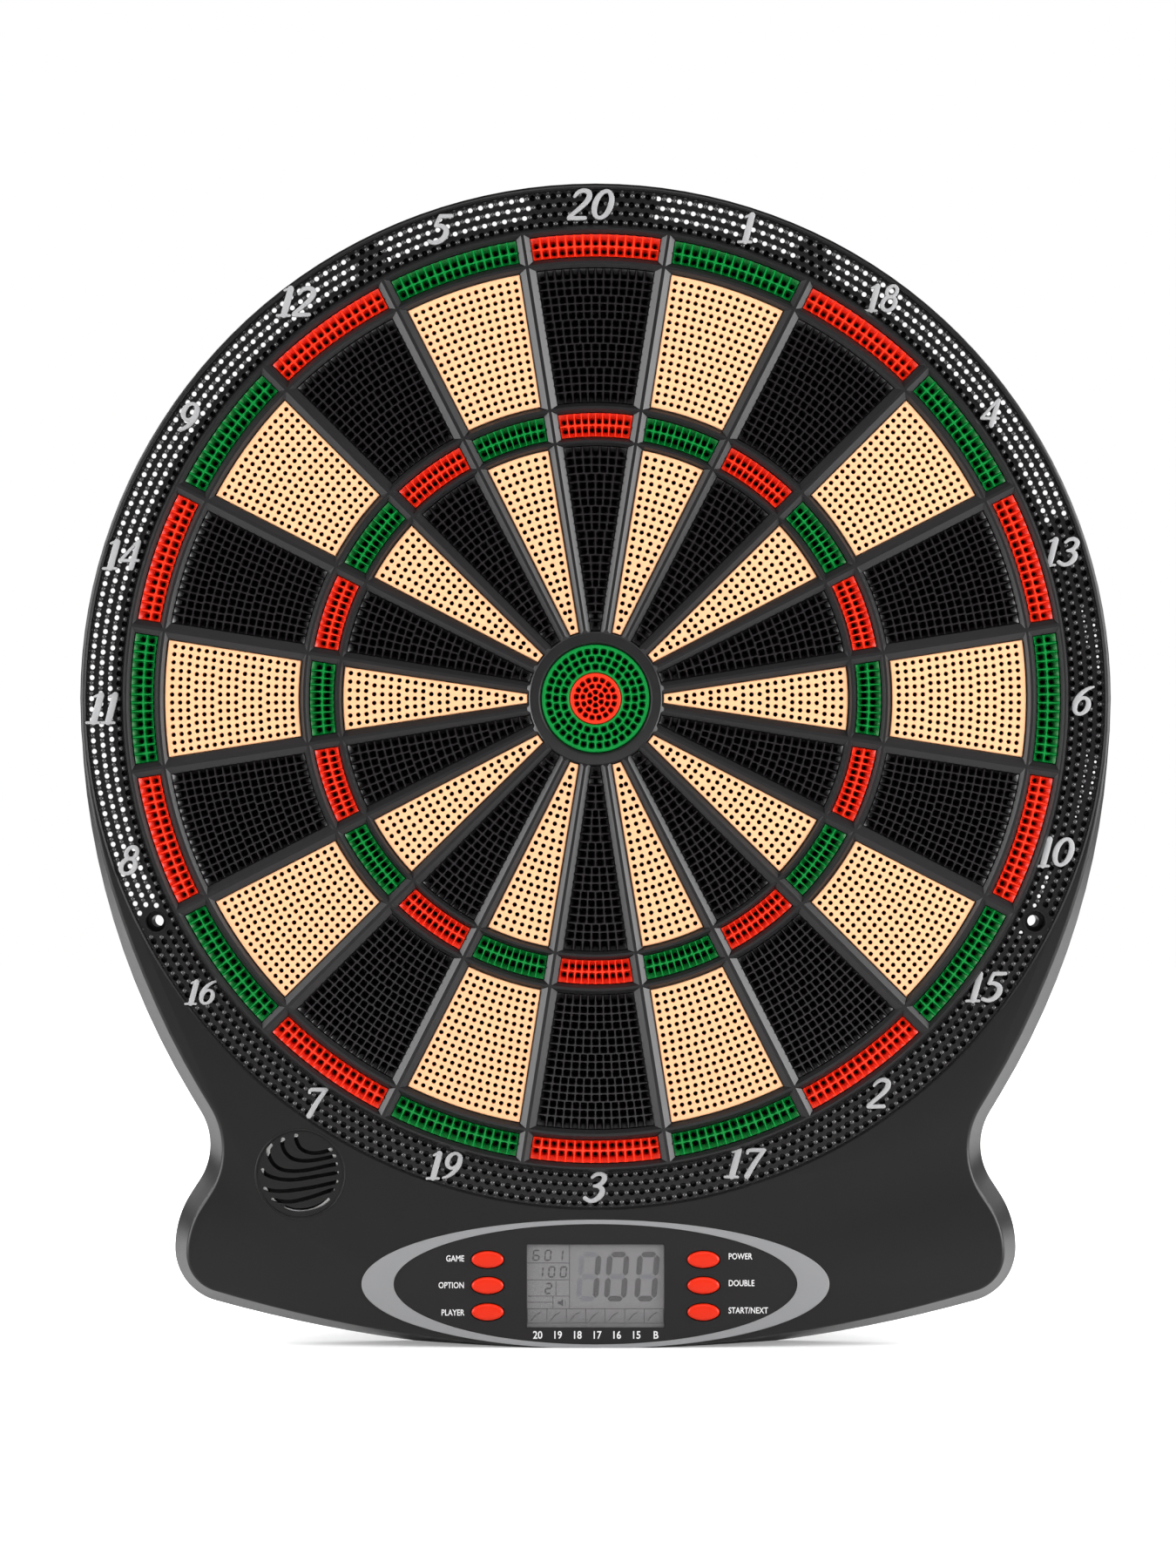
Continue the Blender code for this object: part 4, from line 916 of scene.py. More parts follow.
# Each digit's strokes, drawn 12 mm tall: lines hold points (across, up, width), and rings hold their
# centre and half sizes, then the stroke's width at the sides and at the top.
DIGITS = {
    "0": [("ring", (0.0, 6.0, 3.0, 5.0), 2.15, 1.5)],
    "1": [
        ("line", [(0.2, 10.9, 2.4), (0.2, 6.0, 2.5), (0.2, 0.9, 2.4)]),
        ("line", [(0.2, 10.9, 1.7), (-1.0, 10.7, 1.2), (-2.0, 10.3, 0.9)]),
        ("line", [(-2.3, 0.6, 1.1), (0.0, 0.65, 1.2), (2.5, 0.6, 1.1)]),
    ],
    "2": [
        ("line", [(-3.0, 9.0, 1.1), (-2.1, 10.5, 1.5), (-0.2, 11.2, 1.7), (1.9, 10.5, 2.0), (2.5, 8.7, 2.1),
                  (1.7, 6.6, 1.9), (-0.3, 4.2, 1.6), (-2.9, 1.4, 1.5)]),
        ("line", [(-2.9, 0.85, 1.6), (0.0, 0.85, 1.6), (3.0, 0.95, 1.5)]),
    ],
    "3": [
        ("line", [(-2.4, 9.9, 1.2), (-1.2, 11.0, 1.5), (0.7, 11.2, 1.7), (2.3, 10.0, 2.0), (2.2, 8.2, 1.9),
                  (0.9, 6.9, 1.5), (-0.7, 6.5, 1.2)]),
        ("line", [(-0.7, 6.5, 1.2), (1.2, 6.3, 1.6), (2.8, 4.9, 2.1), (2.7, 2.9, 2.2), (1.2, 1.2, 1.8),
                  (-0.9, 0.8, 1.6), (-3.0, 1.8, 1.7)]),
    ],
    "4": [
        ("line", [(1.5, 11.2, 1.2), (-0.8, 7.9, 1.2), (-3.3, 4.0, 1.3)]),
        ("line", [(-3.3, 3.7, 1.3), (0.0, 3.7, 1.3), (3.4, 3.7, 1.2)]),
        ("line", [(1.7, 10.9, 1.7), (1.5, 6.0, 2.0), (1.4, 0.9, 2.1)]),
    ],
    "5": [
        ("line", [(-1.3, 11.1, 1.6), (0.9, 11.1, 1.6), (3.0, 11.2, 1.4)]),
        ("line", [(-1.4, 11.1, 1.4), (-1.9, 9.2, 1.4), (-2.2, 7.4, 1.4)]),
        ("line", [(-2.2, 7.4, 1.3), (0.1, 7.3, 1.7), (2.2, 5.9, 2.1), (2.5, 3.7, 2.2), (1.3, 1.7, 1.9),
                  (-0.8, 0.8, 1.6), (-3.0, 1.3, 1.6)]),
    ],
    "6": [
        ("line", [(2.6, 11.2, 0.9), (0.7, 10.5, 1.4), (-1.5, 8.5, 1.8), (-2.7, 5.7, 2.1), (-2.5, 3.2, 2.1)]),
        ("ring", (0.0, 3.9, 2.6, 3.1), 2.0, 1.4),
    ],
    "7": [
        ("line", [(-3.1, 9.9, 1.2), (-2.8, 10.9, 1.5), (0.2, 11.0, 1.6), (3.1, 11.0, 1.5)]),
        ("line", [(2.9, 10.7, 1.5), (0.9, 6.4, 1.9), (-0.9, 0.9, 2.1)]),
    ],
    "8": [
        ("ring", (0.0, 8.8, 2.1, 2.35), 1.6, 1.4),
        ("ring", (0.0, 3.7, 2.7, 2.95), 1.9, 1.5),
    ],
    "9": [
        ("ring", (0.0, 8.0, 2.6, 3.1), 2.0, 1.4),
        ("line", [(2.5, 8.7, 2.1), (2.5, 6.0, 2.1), (1.3, 3.4, 1.8), (-0.8, 1.5, 1.4), (-2.6, 0.9, 0.9)]),
    ],
}
# The heights of the numerals that aren't the usual height, in millimetres.
NUMERAL_HEIGHT = {16: 9.6, 18: 10.6, 19: 10.8, 13: 11.0, 4: 11.0, 20: 12.0, 11: 12.0}
USUAL_HEIGHT = 11.6
# Each numeral stands a little off its sector's middle line: (across, up) in millimetres.
NUMERAL_SHIFT = {
    20: (-1.4, 1.0), 1: (0.3, 1.2), 18: (-0.2, 1.1), 4: (-0.7, -1.1), 13: (-0.2, -1.9),
    6: (-1.5, -0.7), 10: (-2.4, -0.6), 15: (-2.3, 0.2), 2: (-1.8, 1.1), 17: (-0.6, 1.1),
    3: (0.1, 1.0), 19: (0.9, 0.2), 7: (3.1, -2.4), 16: (1.7, -1.8), 8: (0.6, -3.6),
    11: (0.0, -3.6), 14: (-1.5, -2.9), 9: (-3.4, -2.7), 12: (-3.3, -0.2), 5: (-1.2, 0.7),
}


def between(corners, share):
    """A value on the smooth curve between the middle two of four corners, at a share of the way."""
    p, q, r, s = corners
    slope = (r - p) * share
    bend = (2 * p - 5 * q + 4 * r - s) * share**2
    twist = (3 * q - p - 3 * r + s) * share**3
    return 0.5 * (2 * q + slope + bend + twist)


def smooth_route(points, per_leg):
    """Points along a smooth curve through a route's own points."""
    padded = [points[0], *points, points[-1]]
    route = []
    for a, b, c, d in zip(padded, padded[1:], padded[2:], padded[3:]):
        route += [tuple(between(corners, i / per_leg) for corners in zip(a, b, c, d)) for i in range(per_leg)]
    return [*route, tuple(points[-1])]


def pen_section(place, normal, width, front, back):
    """The pen's cross-section at a point: flat on top, with rounded shoulders."""
    shoulder = min(0.35 * MM, width * 0.3)
    half = width / 2
    right = ((half - shoulder, front), (half - 0.3 * shoulder, front - 0.3 * shoulder),
             (half, front - shoulder), (half, back))
    left = [(-a, d) for a, d in right[::-1]]
    return [(place[0] + normal[0] * a, -d, place[1] + normal[1] * a) for a, d in [*left, *right]]


ROUND_END = [math.radians(d) for d in (84, 62, 40, 20)]  # angles round the end of a stroke


def pen_line(route, front, back):
    """A stroke with round ends along a route of (x, z, width)."""
    points = [Vector((x, z)) for x, z, _ in route]
    widths = [w for _, _, w in route]
    directions = []
    for i in range(len(points)):
        directions.append((points[min(i + 1, len(points) - 1)] - points[max(i - 1, 0)]).normalized())
    stations = list(zip(points, directions, widths))
    first, last = [
        [
            (points[k] + directions[k] * widths[k] / 2 * math.sin(a) * way, directions[k],
             widths[k] * math.cos(a))
            for a in ROUND_END[::-way]
        ]
        for k, way in ((0, -1), (-1, 1))
    ]
    sections = [
        pen_section(place, (-ahead.y, ahead.x), width, front, back)
        for place, ahead, width in [*first, *stations, *last]
    ]
    return skinned("stroke", sections)


def pen_cut(route, front, back):
    """A straight-sided cutter along a route of (x, z, width)."""
    left, right = [], []
    for i, (x, z, width) in enumerate(route):
        before, after = route[max(i - 1, 0)], route[min(i + 1, len(route) - 1)]
        ahead = (Vector(after[:2]) - Vector(before[:2])).normalized()
        taper = 0.55 if i in (0, len(route) - 1) else 1.0
        reach = width / 2 * taper
        left.append((x - ahead.y * reach, z + ahead.x * reach))
        right.append((x + ahead.y * reach, z - ahead.x * reach))
    return plate_solid(left + right[::-1], front, back)


def pen_ring(centre, half, side_width, top_width, front, back):
    """A closed oval stroke, thicker at its sides, slanted with the digit."""
    steps = 40
    route = []
    for i in range(steps):
        a = 2 * math.pi * i / steps
        z = centre[1] + half[1] * math.sin(a)
        x = centre[0] + half[0] * math.cos(a)
        width = top_width + (side_width - top_width) * math.cos(a) ** 2
        route.append((x + SLANT * z, z, width))
    sections = []
    for i in range(steps):
        before, after = route[i - 1], route[(i + 1) % steps]
        ahead = (Vector(after[:2]) - Vector(before[:2])).normalized()
        sections.append(pen_section(route[i][:2], (-ahead.y, ahead.x), route[i][2], front, back))
    return skinned("ring", sections, closed=True)


def digit_mesh(digit, x, z, scale):
    """One digit, centred on (x, z), as a single solid."""
    front, back = NUMERAL_FRONT, RING_FRONT - 0.2 * MM
    strokes = []
    for stroke in DIGITS[digit]:
        if stroke[0] == "ring":
            cx, cz, rx, rz = stroke[1]
            centre, half = (cx * scale, (cz - DRAWN_HEIGHT / 2) * scale), (rx * scale, rz * scale)
            mesh = pen_ring(centre, half, stroke[2] * scale, stroke[3] * scale, front, back)
        else:
            level = [(a, b - DRAWN_HEIGHT / 2, w) for a, b, w in stroke[1]]
            moved = [((a + SLANT * b) * scale, b * scale, w * scale) for a, b, w in level]
            mesh = pen_line(smooth_route(moved, 5), front, back)
        mesh.transform(Matrix.Translation((x, 0, z)))
        strokes.append(mesh)
    if len(strokes) == 1:
        return strokes[0]
    return carved(strokes[0], *[("UNION", [mesh]) for mesh in strokes[1:]])


def make_numerals():
    """The 20 silver numerals that stand on the number ring, all upright."""
    for i, number in enumerate(NUMBERS):
        clock = SECTOR * i
        across, up = NUMERAL_SHIFT[number]
        x = NUMERAL_R * math.sin(clock) + across * MM
        z = NUMERAL_R * math.cos(clock) + up * MM
        scale = NUMERAL_HEIGHT.get(number, USUAL_HEIGHT) / DRAWN_HEIGHT * MM
        digits = str(number)
        widths = [(NARROW_DIGIT if digit == "1" else WIDE_DIGIT) * scale for digit in digits]
        left = x - (sum(widths) + DIGIT_GAP * scale * (len(digits) - 1)) / 2
        for k, digit in enumerate(digits):
            mesh = digit_mesh(digit, left + widths[k] / 2, z, scale)
            part = "" if len(digits) == 1 else ("_tens", "_units")[k]
            piece(f"numeral_{number}{part}", shaded(mesh, 40), "board", "numeral_silver")
            left += widths[k] + DIGIT_GAP * scale


# ---- housing and cover ------------------------------------------------------------------------------
GRILLE_SLOTS = (  # points along each slot, in millimetres from the grille's centre
    ((-1.4, 15.0), (-1.6, 13.1), (-0.4, 10.2), (1.8, 8.5), (5.2, 7.8), (9.1, 8.3), (12.0, 9.3)),
    ((-6.3, 13.6), (-6.7, 11.2), (-5.8, 8.4), (-3.4, 6.0), (0.2, 5.0), (4.0, 5.0), (8.3, 5.7), (13.4, 6.8)),
    ((-10.6, 11.2), (-12.0, 9.2), (-11.5, 6.3), (-9.8, 3.5), (-7.0, 1.7), (-3.4, 1.1), (0.4, 1.2), (5.0, 1.9),
     (9.4, 2.9), (14.0, 3.8)),
    ((-14.5, 2.0), (-13.0, 0.0), (-9.8, -1.4), (-6.0, -2.1), (-2.0, -2.1), (2.4, -1.5), (7.6, -0.6),
     (14.4, 0.6)),
    ((-13.9, -5.4), (-11.3, -6.1), (-7.0, -6.4), (-2.0, -6.0), (3.8, -5.1), (9.1, -4.0), (14.2, -2.8)),
    ((-10.9, -9.5), (-7.0, -10.2), (-3.2, -10.3), (2.0, -9.2), (7.3, -7.5), (12.8, -5.6)),
    ((-6.0, -12.2), (-3.2, -13.3), (0.4, -13.5), (4.5, -12.8), (8.1, -11.3), (10.9, -9.2)),
)


def grille_slots():
    """The wavy slots of the speaker grille, which sweep from its top left round to its right."""
    slots = []
    for points in GRILLE_SLOTS:
        moved = [(SPEAKER[0] + x * MM, SPEAKER[1] + z * MM, 1.45 * MM) for x, z in points]
        slots.append(pen_cut(smooth_route(moved, 4), FACE + 0.2 * MM, FACE - WALL - 0.6 * MM))
    return slots


def make_housing():
    """The front housing: a shell with flared sides and a softly rounded front edge."""
    fillet = 1.5 * MM
    sections = []
    for i in range(6):
        a = math.pi / 2 * i / 5
        sections.append((housing_outline(1.0, fillet * (1 - math.sin(a))), FACE - fillet * (1 - math.cos(a))))
    sections += [(housing_outline(0.02), 0.4 * MM), (housing_outline(0.0, 0.3 * MM), 0.0)]
    inside = ((housing_outline(0.9, WALL), FACE - WALL), (housing_outline(-0.05, WALL), -MM))
    recess = turned("recess", (
        (0, FACE + MM),
        (RING_R + 1.6 * MM, FACE + MM),
        (RING_R, FACE - 0.6 * MM),
        (RING_R, FACE - WALL - 3 * MM),
        (0, FACE - WALL - 3 * MM),
    ), 360)
    beyond = FACE + MM
    behind = FACE - WALL - MM
    display_x = (-LCD_HALF[0] - 0.3 * MM, LCD_HALF[0] + 0.3 * MM)
    display_z = (LCD_Z - LCD_HALF[1] - 0.3 * MM, LCD_Z + LCD_HALF[1] + 0.3 * MM)
    cuts = [block("display", display_x, display_z, beyond, behind)]
    fit = (BUTTON_HALF[0] + 0.3 * MM, BUTTON_HALF[1] + 0.3 * MM)
    for side in (-1, 1):
        for z in BUTTON_Z:
            cuts.append(slab("button_hole", [ellipse(fit, (side * BUTTON_X, z), 48)], beyond, behind))
    dish = turned("dish", (
        (0, beyond),
        (GRILLE_R + 0.25 * MM, beyond),
        (GRILLE_R - 0.35 * MM, FACE - 0.55 * MM),
        (0, FACE - 0.55 * MM),
    ), 96, SPEAKER)
    bead = turned("bead", [
        (GRILLE_R + 0.45 * MM + 0.3 * MM * math.cos(a), FACE + 0.25 * MM * math.sin(a))
        for a in (math.radians(d) for d in (90, 45, 0, -60, -120, 180, 135))
    ], 96, SPEAKER)
    mesh = carved(
        loft("housing", sections),
        ("DIFFERENCE", [loft("inside", inside)]),
        ("DIFFERENCE", [recess]),
        ("DIFFERENCE", cuts),
        ("UNION", [bead]),
        ("DIFFERENCE", [dish]),
        *[("DIFFERENCE", [slot]) for slot in grille_slots()],
    )
    piece("housing", shaded(mesh), "board", "black_plastic", replaces=("front_housing",))


# ---- control panel ------------------------------------------------------------------------------------
DISPLAY_SLANT = 0.08  # how far a display digit leans to the right, for each unit of its height
LIT_BARS = {"0": "abcdef", "1": "bc", "2": "abged", "6": "acdefg", "8": "abcdefg"}


def shrunk_ellipse(half, inset, centre, sides=160):
    """An ellipse moved inwards by inset."""
    return ellipse((half[0] - inset, half[1] - inset), centre, sides)


def bar_outline(start, end, half):
    """A bar of a display digit, pointed at both ends."""
    start, end = Vector(start), Vector(end)
    ahead = (end - start).normalized()
    start += ahead * half * 0.25
    end -= ahead * half * 0.25
    side = Vector((-ahead.y, ahead.x)) * half
    inner = ahead * half
    corners = (start, start + inner + side, end - inner + side, end, end - inner - side, start + inner - side)
    return [tuple(corner) for corner in corners]


def digit_bars(character, left, bottom, size, stroke):
    """The lit bars of a seven-bar digit, as outlines."""
    width, height = size
    half = stroke / 2
    low, middle, high = bottom + half, bottom + height / 2, bottom + height - half
    near, far = left + half, left + width - half
    ends = {
        "a": ((near, high), (far, high)),
        "g": ((near, middle), (far, middle)),
        "d": ((near, low), (far, low)),
        "f": ((near, middle), (near, high)),
        "b": ((far, middle), (far, high)),
        "e": ((near, low), (near, middle)),
        "c": ((far, low), (far, middle)),
    }
    outlines = []
    for bar in LIT_BARS[character]:
        start, end = ends[bar]
        outline = bar_outline(start, end, half)
        outlines.append([(x + DISPLAY_SLANT * (z - bottom), z) for x, z in outline])
    return outlines


def line_outline(start, end, width):
    """A thin straight printed line."""
    start, end = Vector(start), Vector(end)
    ahead = (end - start).normalized()
    side = Vector((-ahead.y, ahead.x)) * width / 2
    return [tuple(corner) for corner in (start + side, end + side, end - side, start - side)]


def lettering(text, place, height, align, stretch):
    """Printed capitals or digits, a hair above the panel."""
    front = FACE + 0.32 * MM
    curve = bpy.data.curves.new("lettering", "FONT")
    curve.body = text
    curve.align_x = align
    curve.align_y = "CENTER"
    curve.size = height / 0.72
    curve.offset = 0.018 * height
    curve.extrude = 0.03 * MM
    curve.resolution_u = 3
    move = Matrix.Translation((place[0], -front, place[1])) @ Matrix.Rotation(math.pi / 2, 4, "X")
    return drawn_mesh("lettering", curve, move @ Matrix.Diagonal((stretch, 1, 1, 1)))


def make_panel():
    """The oval panel: a silver border round a black field with its holes and white printing."""
    centre = (0, PANEL_Z)
    hole = plate_solid(shrunk_ellipse(BLACK_HALF, 0, centre), FACE + 2 * MM, FACE - 2 * MM)
    border = loft("panel_border", (
        (shrunk_ellipse(PANEL_HALF, 0.55 * MM, centre), FACE + 0.55 * MM),
        (shrunk_ellipse(PANEL_HALF, 0.2 * MM, centre), FACE + 0.48 * MM),
        (shrunk_ellipse(PANEL_HALF, 0.02 * MM, centre), FACE + 0.25 * MM),
        (shrunk_ellipse(PANEL_HALF, 0, centre), FACE - 0.1 * MM),
    ))
    mesh = shaded(carved(border, ("DIFFERENCE", [hole])))
    piece("panel_border", mesh, "board", "panel_silver", replaces=("control_overlay",))

    x_range = (-LCD_HALF[0], LCD_HALF[0])
    z_range = (LCD_Z - LCD_HALF[1], LCD_Z + LCD_HALF[1])
    holes = [rounded_rectangle(x_range, z_range, 0.5 * MM)]
    fit = (BUTTON_HALF[0] + 0.45 * MM, BUTTON_HALF[1] + 0.45 * MM)
    for side in (-1, 1):
        holes += [ellipse(fit, (side * BUTTON_X, z), 72) for z in BUTTON_Z]
    outline = shrunk_ellipse(BLACK_HALF, 0.08 * MM, centre)
    field = slab("panel_field", [outline, *holes], FACE + 0.3 * MM, FACE)
    piece("panel_field", field, "board", "panel_black")

    words = (
        ("GAME", -49.0, -209.2, "RIGHT"),
        ("OPTION", -49.0, -219.2, "RIGHT"),
        ("PLAYER", -49.0, -229.4, "RIGHT"),
        ("POWER", 49.6, -208.4, "LEFT"),
        ("DOUBLE", 49.6, -218.4, "LEFT"),
        ("START/NEXT", 49.6, -228.6, "LEFT"),
    )
    prints = [lettering(word, (x * MM, z * MM), 2.3 * MM, align, 0.8) for word, x, z, align in words]
    for i, word in enumerate(("20", "19", "18", "17", "16", "15", "B")):
        place = ((-21.6 + 7.35 * i) * MM, -237.8 * MM)
        prints.append(lettering(word, place, 2.9 * MM, "CENTER", 0.9))
    piece("panel_printing", joined_meshes("panel_printing", prints), "board", "print_white")


def make_display():
    """The display: grey glass with ruled cells, small digits at its left and a large score. What is
    drawn on it is placed in millimetres from its top left corner."""
    left = -LCD_HALF[0]
    top = LCD_Z + LCD_HALF[1]
    glass_front = FACE - 1.6 * MM
    across, high = (left - 2 * MM, -left + 2 * MM), (LCD_Z - 17.4 * MM, LCD_Z + 17.4 * MM)
    whole = rounded_rectangle(across, high, 0.6 * MM)
    glass = plate_solid(whole, glass_front, 17.9 * MM)
    piece("display_glass", glass, "board", "lcd_glass", replaces=("lcd_panel",))

    def at(across, down):
        """The place on the display of a point so far from its top left corner."""
        return (left + across * MM, top - down * MM)

    edge, column, cell_top, cell_foot, cell = 0.3, 16.0, 24.2, 29.6, 7.26
    rules = [((column, edge), (column, cell_top))]
    rules += [((edge, down), (column, down)) for down in (7.1, 13.4, 19.5)]
    rules += [((edge, 21.8), (9.8, 21.8)), ((9.8, 19.5), (9.8, cell_top)), ((10.9, 13.9), (10.9, 19.1))]
    rules += [((edge, down), (51.1, down)) for down in (cell_top, cell_foot)]
    rules += [((edge + cell * i, cell_top), (edge + cell * i, cell_foot)) for i in range(8)]
    ink = [line_outline(at(*start), at(*end), 0.26 * MM) for start, end in rules]
    for i in range(7):
        ticks = [at(across + cell * i, down) for across, down in ((1.6, 28.8), (3.3, 26.6), (5.2, 25.5))]
        ink += [line_outline(start, end, 0.38 * MM) for start, end in zip(ticks, ticks[1:])]
    small = (2.7 * MM, 4.3 * MM)
    for text, start, base in (("601", 2.0, 6.4), ("100", 3.4, 12.6), ("2", 6.6, 18.8)):
        for i, character in enumerate(text):
            ink += digit_bars(character, left + (start + 4.4 * i) * MM, top - base * MM, small, 0.62 * MM)
    ink.append(line_outline(at(11.6, 22.0), at(12.6, 22.0), 1.1 * MM))
    ink.append([at(12.6, 22.6), at(12.6, 21.4), at(13.6, 20.6), at(13.6, 23.4)])
    ink.append(line_outline(at(14.4, 21.2), at(14.4, 22.8), 0.25 * MM))
    large = (8.4 * MM, 18.6 * MM)
    base = top - 21.5 * MM
    ghosts = []
    for character, start in (("1", 18.2), ("0", 28.7), ("0", 40.0)):
        ink += digit_bars(character, left + start * MM, base, large, 2.1 * MM)
        unlit = digit_bars("8", left + start * MM, base, large, 2.1 * MM)
        ghosts += unlit if character == "1" else unlit[-1:]
    solids = [plate_solid(outline, glass_front + 0.14 * MM, glass_front + 0.02 * MM) for outline in ink]
    piece("display_digits", joined_meshes("display_digits", solids), "board", "lcd_ink")
    solids = [plate_solid(outline, glass_front + 0.08 * MM, glass_front + 0.01 * MM) for outline in ghosts]
    piece("display_ghosts", joined_meshes("display_ghosts", solids), "board", "lcd_ghost")

    across, high = (left + 0.2 * MM, -left - 0.2 * MM), (top - 30.9 * MM, top - 0.2 * MM)
    inside = rounded_rectangle(across, high, 0.5 * MM)
    window = plate_solid(inside, FACE + 0.2 * MM, FACE - 0.8 * MM)
    piece("display_window", window, "board", "clear_window", replaces=("lcd_window",))


# The crown's levels: each one's inset and its height over the button's face, in millimetres.
BUTTON_CROWN = ((2.2, 0.02), (1.3, -0.03), (0.75, -0.14), (0.32, -0.36), (0.08, -0.7), (0.0, -1.1))


def make_buttons():
    """Six oval buttons with softly rounded crowns."""
    seat = FACE - WALL - 0.3 * MM
    for side, names in zip((-1, 1), BUTTON_NAMES):
        for name, z in zip(names, BUTTON_Z):
            centre = (side * BUTTON_X, z)
            levels = [(inset, BUTTON_FACE + above * MM) for inset, above in BUTTON_CROWN]
            levels += [(0.0, seat), (-1.2, seat - 0.01 * MM), (-1.2, seat - MM), (0.6, seat - 1.6 * MM)]
            sections = [(shrunk_ellipse(BUTTON_HALF, i * MM, centre, 64), depth) for i, depth in levels]
            piece(f"{name}_cap", shaded(loft(name, sections), 50), name, "button_red", replaces=(name,))


# ---- back of the board -----------------------------------------------------------------------------------
GROOVES_R = (34 * MM, 62 * MM, 90 * MM, 118 * MM, 146 * MM)


def cover_outline():
    """The rear cover's plate, where it lies inside the housing's foot."""
    top = MOUNT_HOLE[1] - MOUNT_SLEEVE_R - 0.7 * MM
    inner = housing_outline(COVER_WALL / FACE, WALL + 0.5 * MM)
    right = [(x, z) for x, z in inner if x >= 0 and z < top]
    edge = right[0][0] + 2 * MM
    half = [(edge, top), *right]
    left = [(-x, z) for x, z in reversed(half) if x > 1e-6]
    return half + left


def make_cover():
    """The rear cover: a flat plate with shallow grooves, screw recesses and the battery bay."""
    plate = slab("rear_cover", [cover_outline()], COVER_WALL, -MM)
    disc = slab("disc", [circle(TUBE_R[1])], COVER_WALL + 0.1 * MM, -1.2 * MM)
    ears = [rod("ear", x, z, EAR_R, COVER_WALL + 0.3 * MM, -1.6 * MM, 48) for x, z in EAR_SCREWS]
    neck = block("neck", (-EAR_R, EAR_R), (170 * MM, SCREW_RING_R), COVER_WALL + 0.2 * MM, -1.4 * MM)
    necks = [copied(neck, Matrix.Rotation(side * SCREW_CLOCK, 4, "Y")) for side in (-1, 1)]
    whole = (-0.5, 0.5)  # wider than the board
    foot = COVER_WALL - 0.4 * MM
    raised = [rod("cup", x, z, 5 * MM, 6 * MM, foot, 32) for x, z in SCREWS]
    bay_x = (BAY_X[0] - BAY_WALL, BAY_X[1] + BAY_WALL)
    bay_z = (BAY_Z[0] - BAY_WALL, BAY_Z[1] + BAY_WALL)
    raised.append(block("bay", bay_x, bay_z, BAY_DEPTH + BAY_WALL, foot))
    recesses = [rod("head_recess", x, z, 3.4 * MM, 4.4 * MM, -MM, 40) for x, z in SCREWS]
    recesses.append(plate_solid(rounded_rectangle(BAY_X, BAY_Z, 1.2 * MM), BAY_DEPTH, -MM))
    rims = [rod("rim", x, z, 3.4 * MM, 0.6 * MM, -0.1 * MM, 40, 4.1 * MM) for x, z in SCREWS]
    holes = [rod("screw_hole", x, z, 1.9 * MM, 7 * MM, 4 * MM, 20) for x, z in SCREWS]
    grooves = []
    for radius in GROOVES_R:
        grooves.append(turned("groove", (
            (radius + 0.7 * MM, 0.5 * MM), (radius + 1.1 * MM, -0.5 * MM),
            (radius - 1.1 * MM, -0.5 * MM), (radius - 0.7 * MM, 0.5 * MM),
        )))
    spokes = []
    for i in range(8):
        spoke = block("spoke", (-0.8 * MM, 0.8 * MM), (6 * MM, 30 * MM), 0.5 * MM, -0.5 * MM)
        spokes.append(copied(spoke, Matrix.Rotation(math.pi / 4 * i, 4, "Y")))
    label_x, label_z = (-55 * MM, 15 * MM), (-218 * MM, -198 * MM)
    label = plate_solid(rounded_rectangle(label_x, label_z, 2 * MM), 0.3 * MM, -0.5 * MM)
    fit = HANGING_TAB_HALF + TAB_FIT / HANGING_TAB_R[0]
    notch = slab("notch", [wedge(HANGING_TAB_R[0] - TAB_FIT, TOP_R, fit, fit)], COVER_WALL + MM, -MM)
    sockets = (BAY_X[0] - 0.9 * MM, BAY_X[1] + 0.9 * MM)
    pins = rod_across("pin_sockets", sockets, -HINGE_DEPTH, HINGE_Z, HINGE_PIN_R + 0.3 * MM, 20)
    mesh = carved(
        plate,
        ("UNION", [disc]),
        ("UNION", ears),
        ("UNION", necks),
        ("DIFFERENCE", [block("flat_back", whole, whole, 0.0, -5 * MM)]),
        ("UNION", raised),
        ("DIFFERENCE", recesses),
        ("DIFFERENCE", rims),
        ("DIFFERENCE", holes),
        ("DIFFERENCE", grooves),
        ("DIFFERENCE", spokes),
        ("DIFFERENCE", [label, notch]),
        ("DIFFERENCE", [pins]),
    )
    piece("cover", shaded(mesh), "board", "black_plastic", replaces=("rear_cover",))


def make_tab():
    """The hanging tab with its keyhole, whose round opening has an eased edge."""
    edge = 0.4 * MM
    hole_z = KEYHOLE_Z - 2 * MM
    outline = wedge(*HANGING_TAB_R, HANGING_TAB_HALF, HANGING_TAB_HALF)
    tab = slab("tab", [outline], COVER_WALL, 0.0)
    slot = rounded_rectangle((-KEYHOLE_SLOT_HALF, KEYHOLE_SLOT_HALF), (KEYHOLE_Z, KEYHOLE_TOP), 2 * MM)
    tab_mesh = carved(
        tab,
        ("DIFFERENCE", [rod("keyhole", 0, hole_z, KEYHOLE_R, 3 * MM, -MM, 48)]),
        ("DIFFERENCE", [plate_solid(slot, 4 * MM, -2 * MM)]),
        ("DIFFERENCE", [rod("ease", 0, hole_z, KEYHOLE_R, edge, -0.1 * MM, 48, KEYHOLE_R + edge)]),
    )
    piece("tab", shaded(tab_mesh), "board", "black_plastic", replaces=("hanging_tab",))


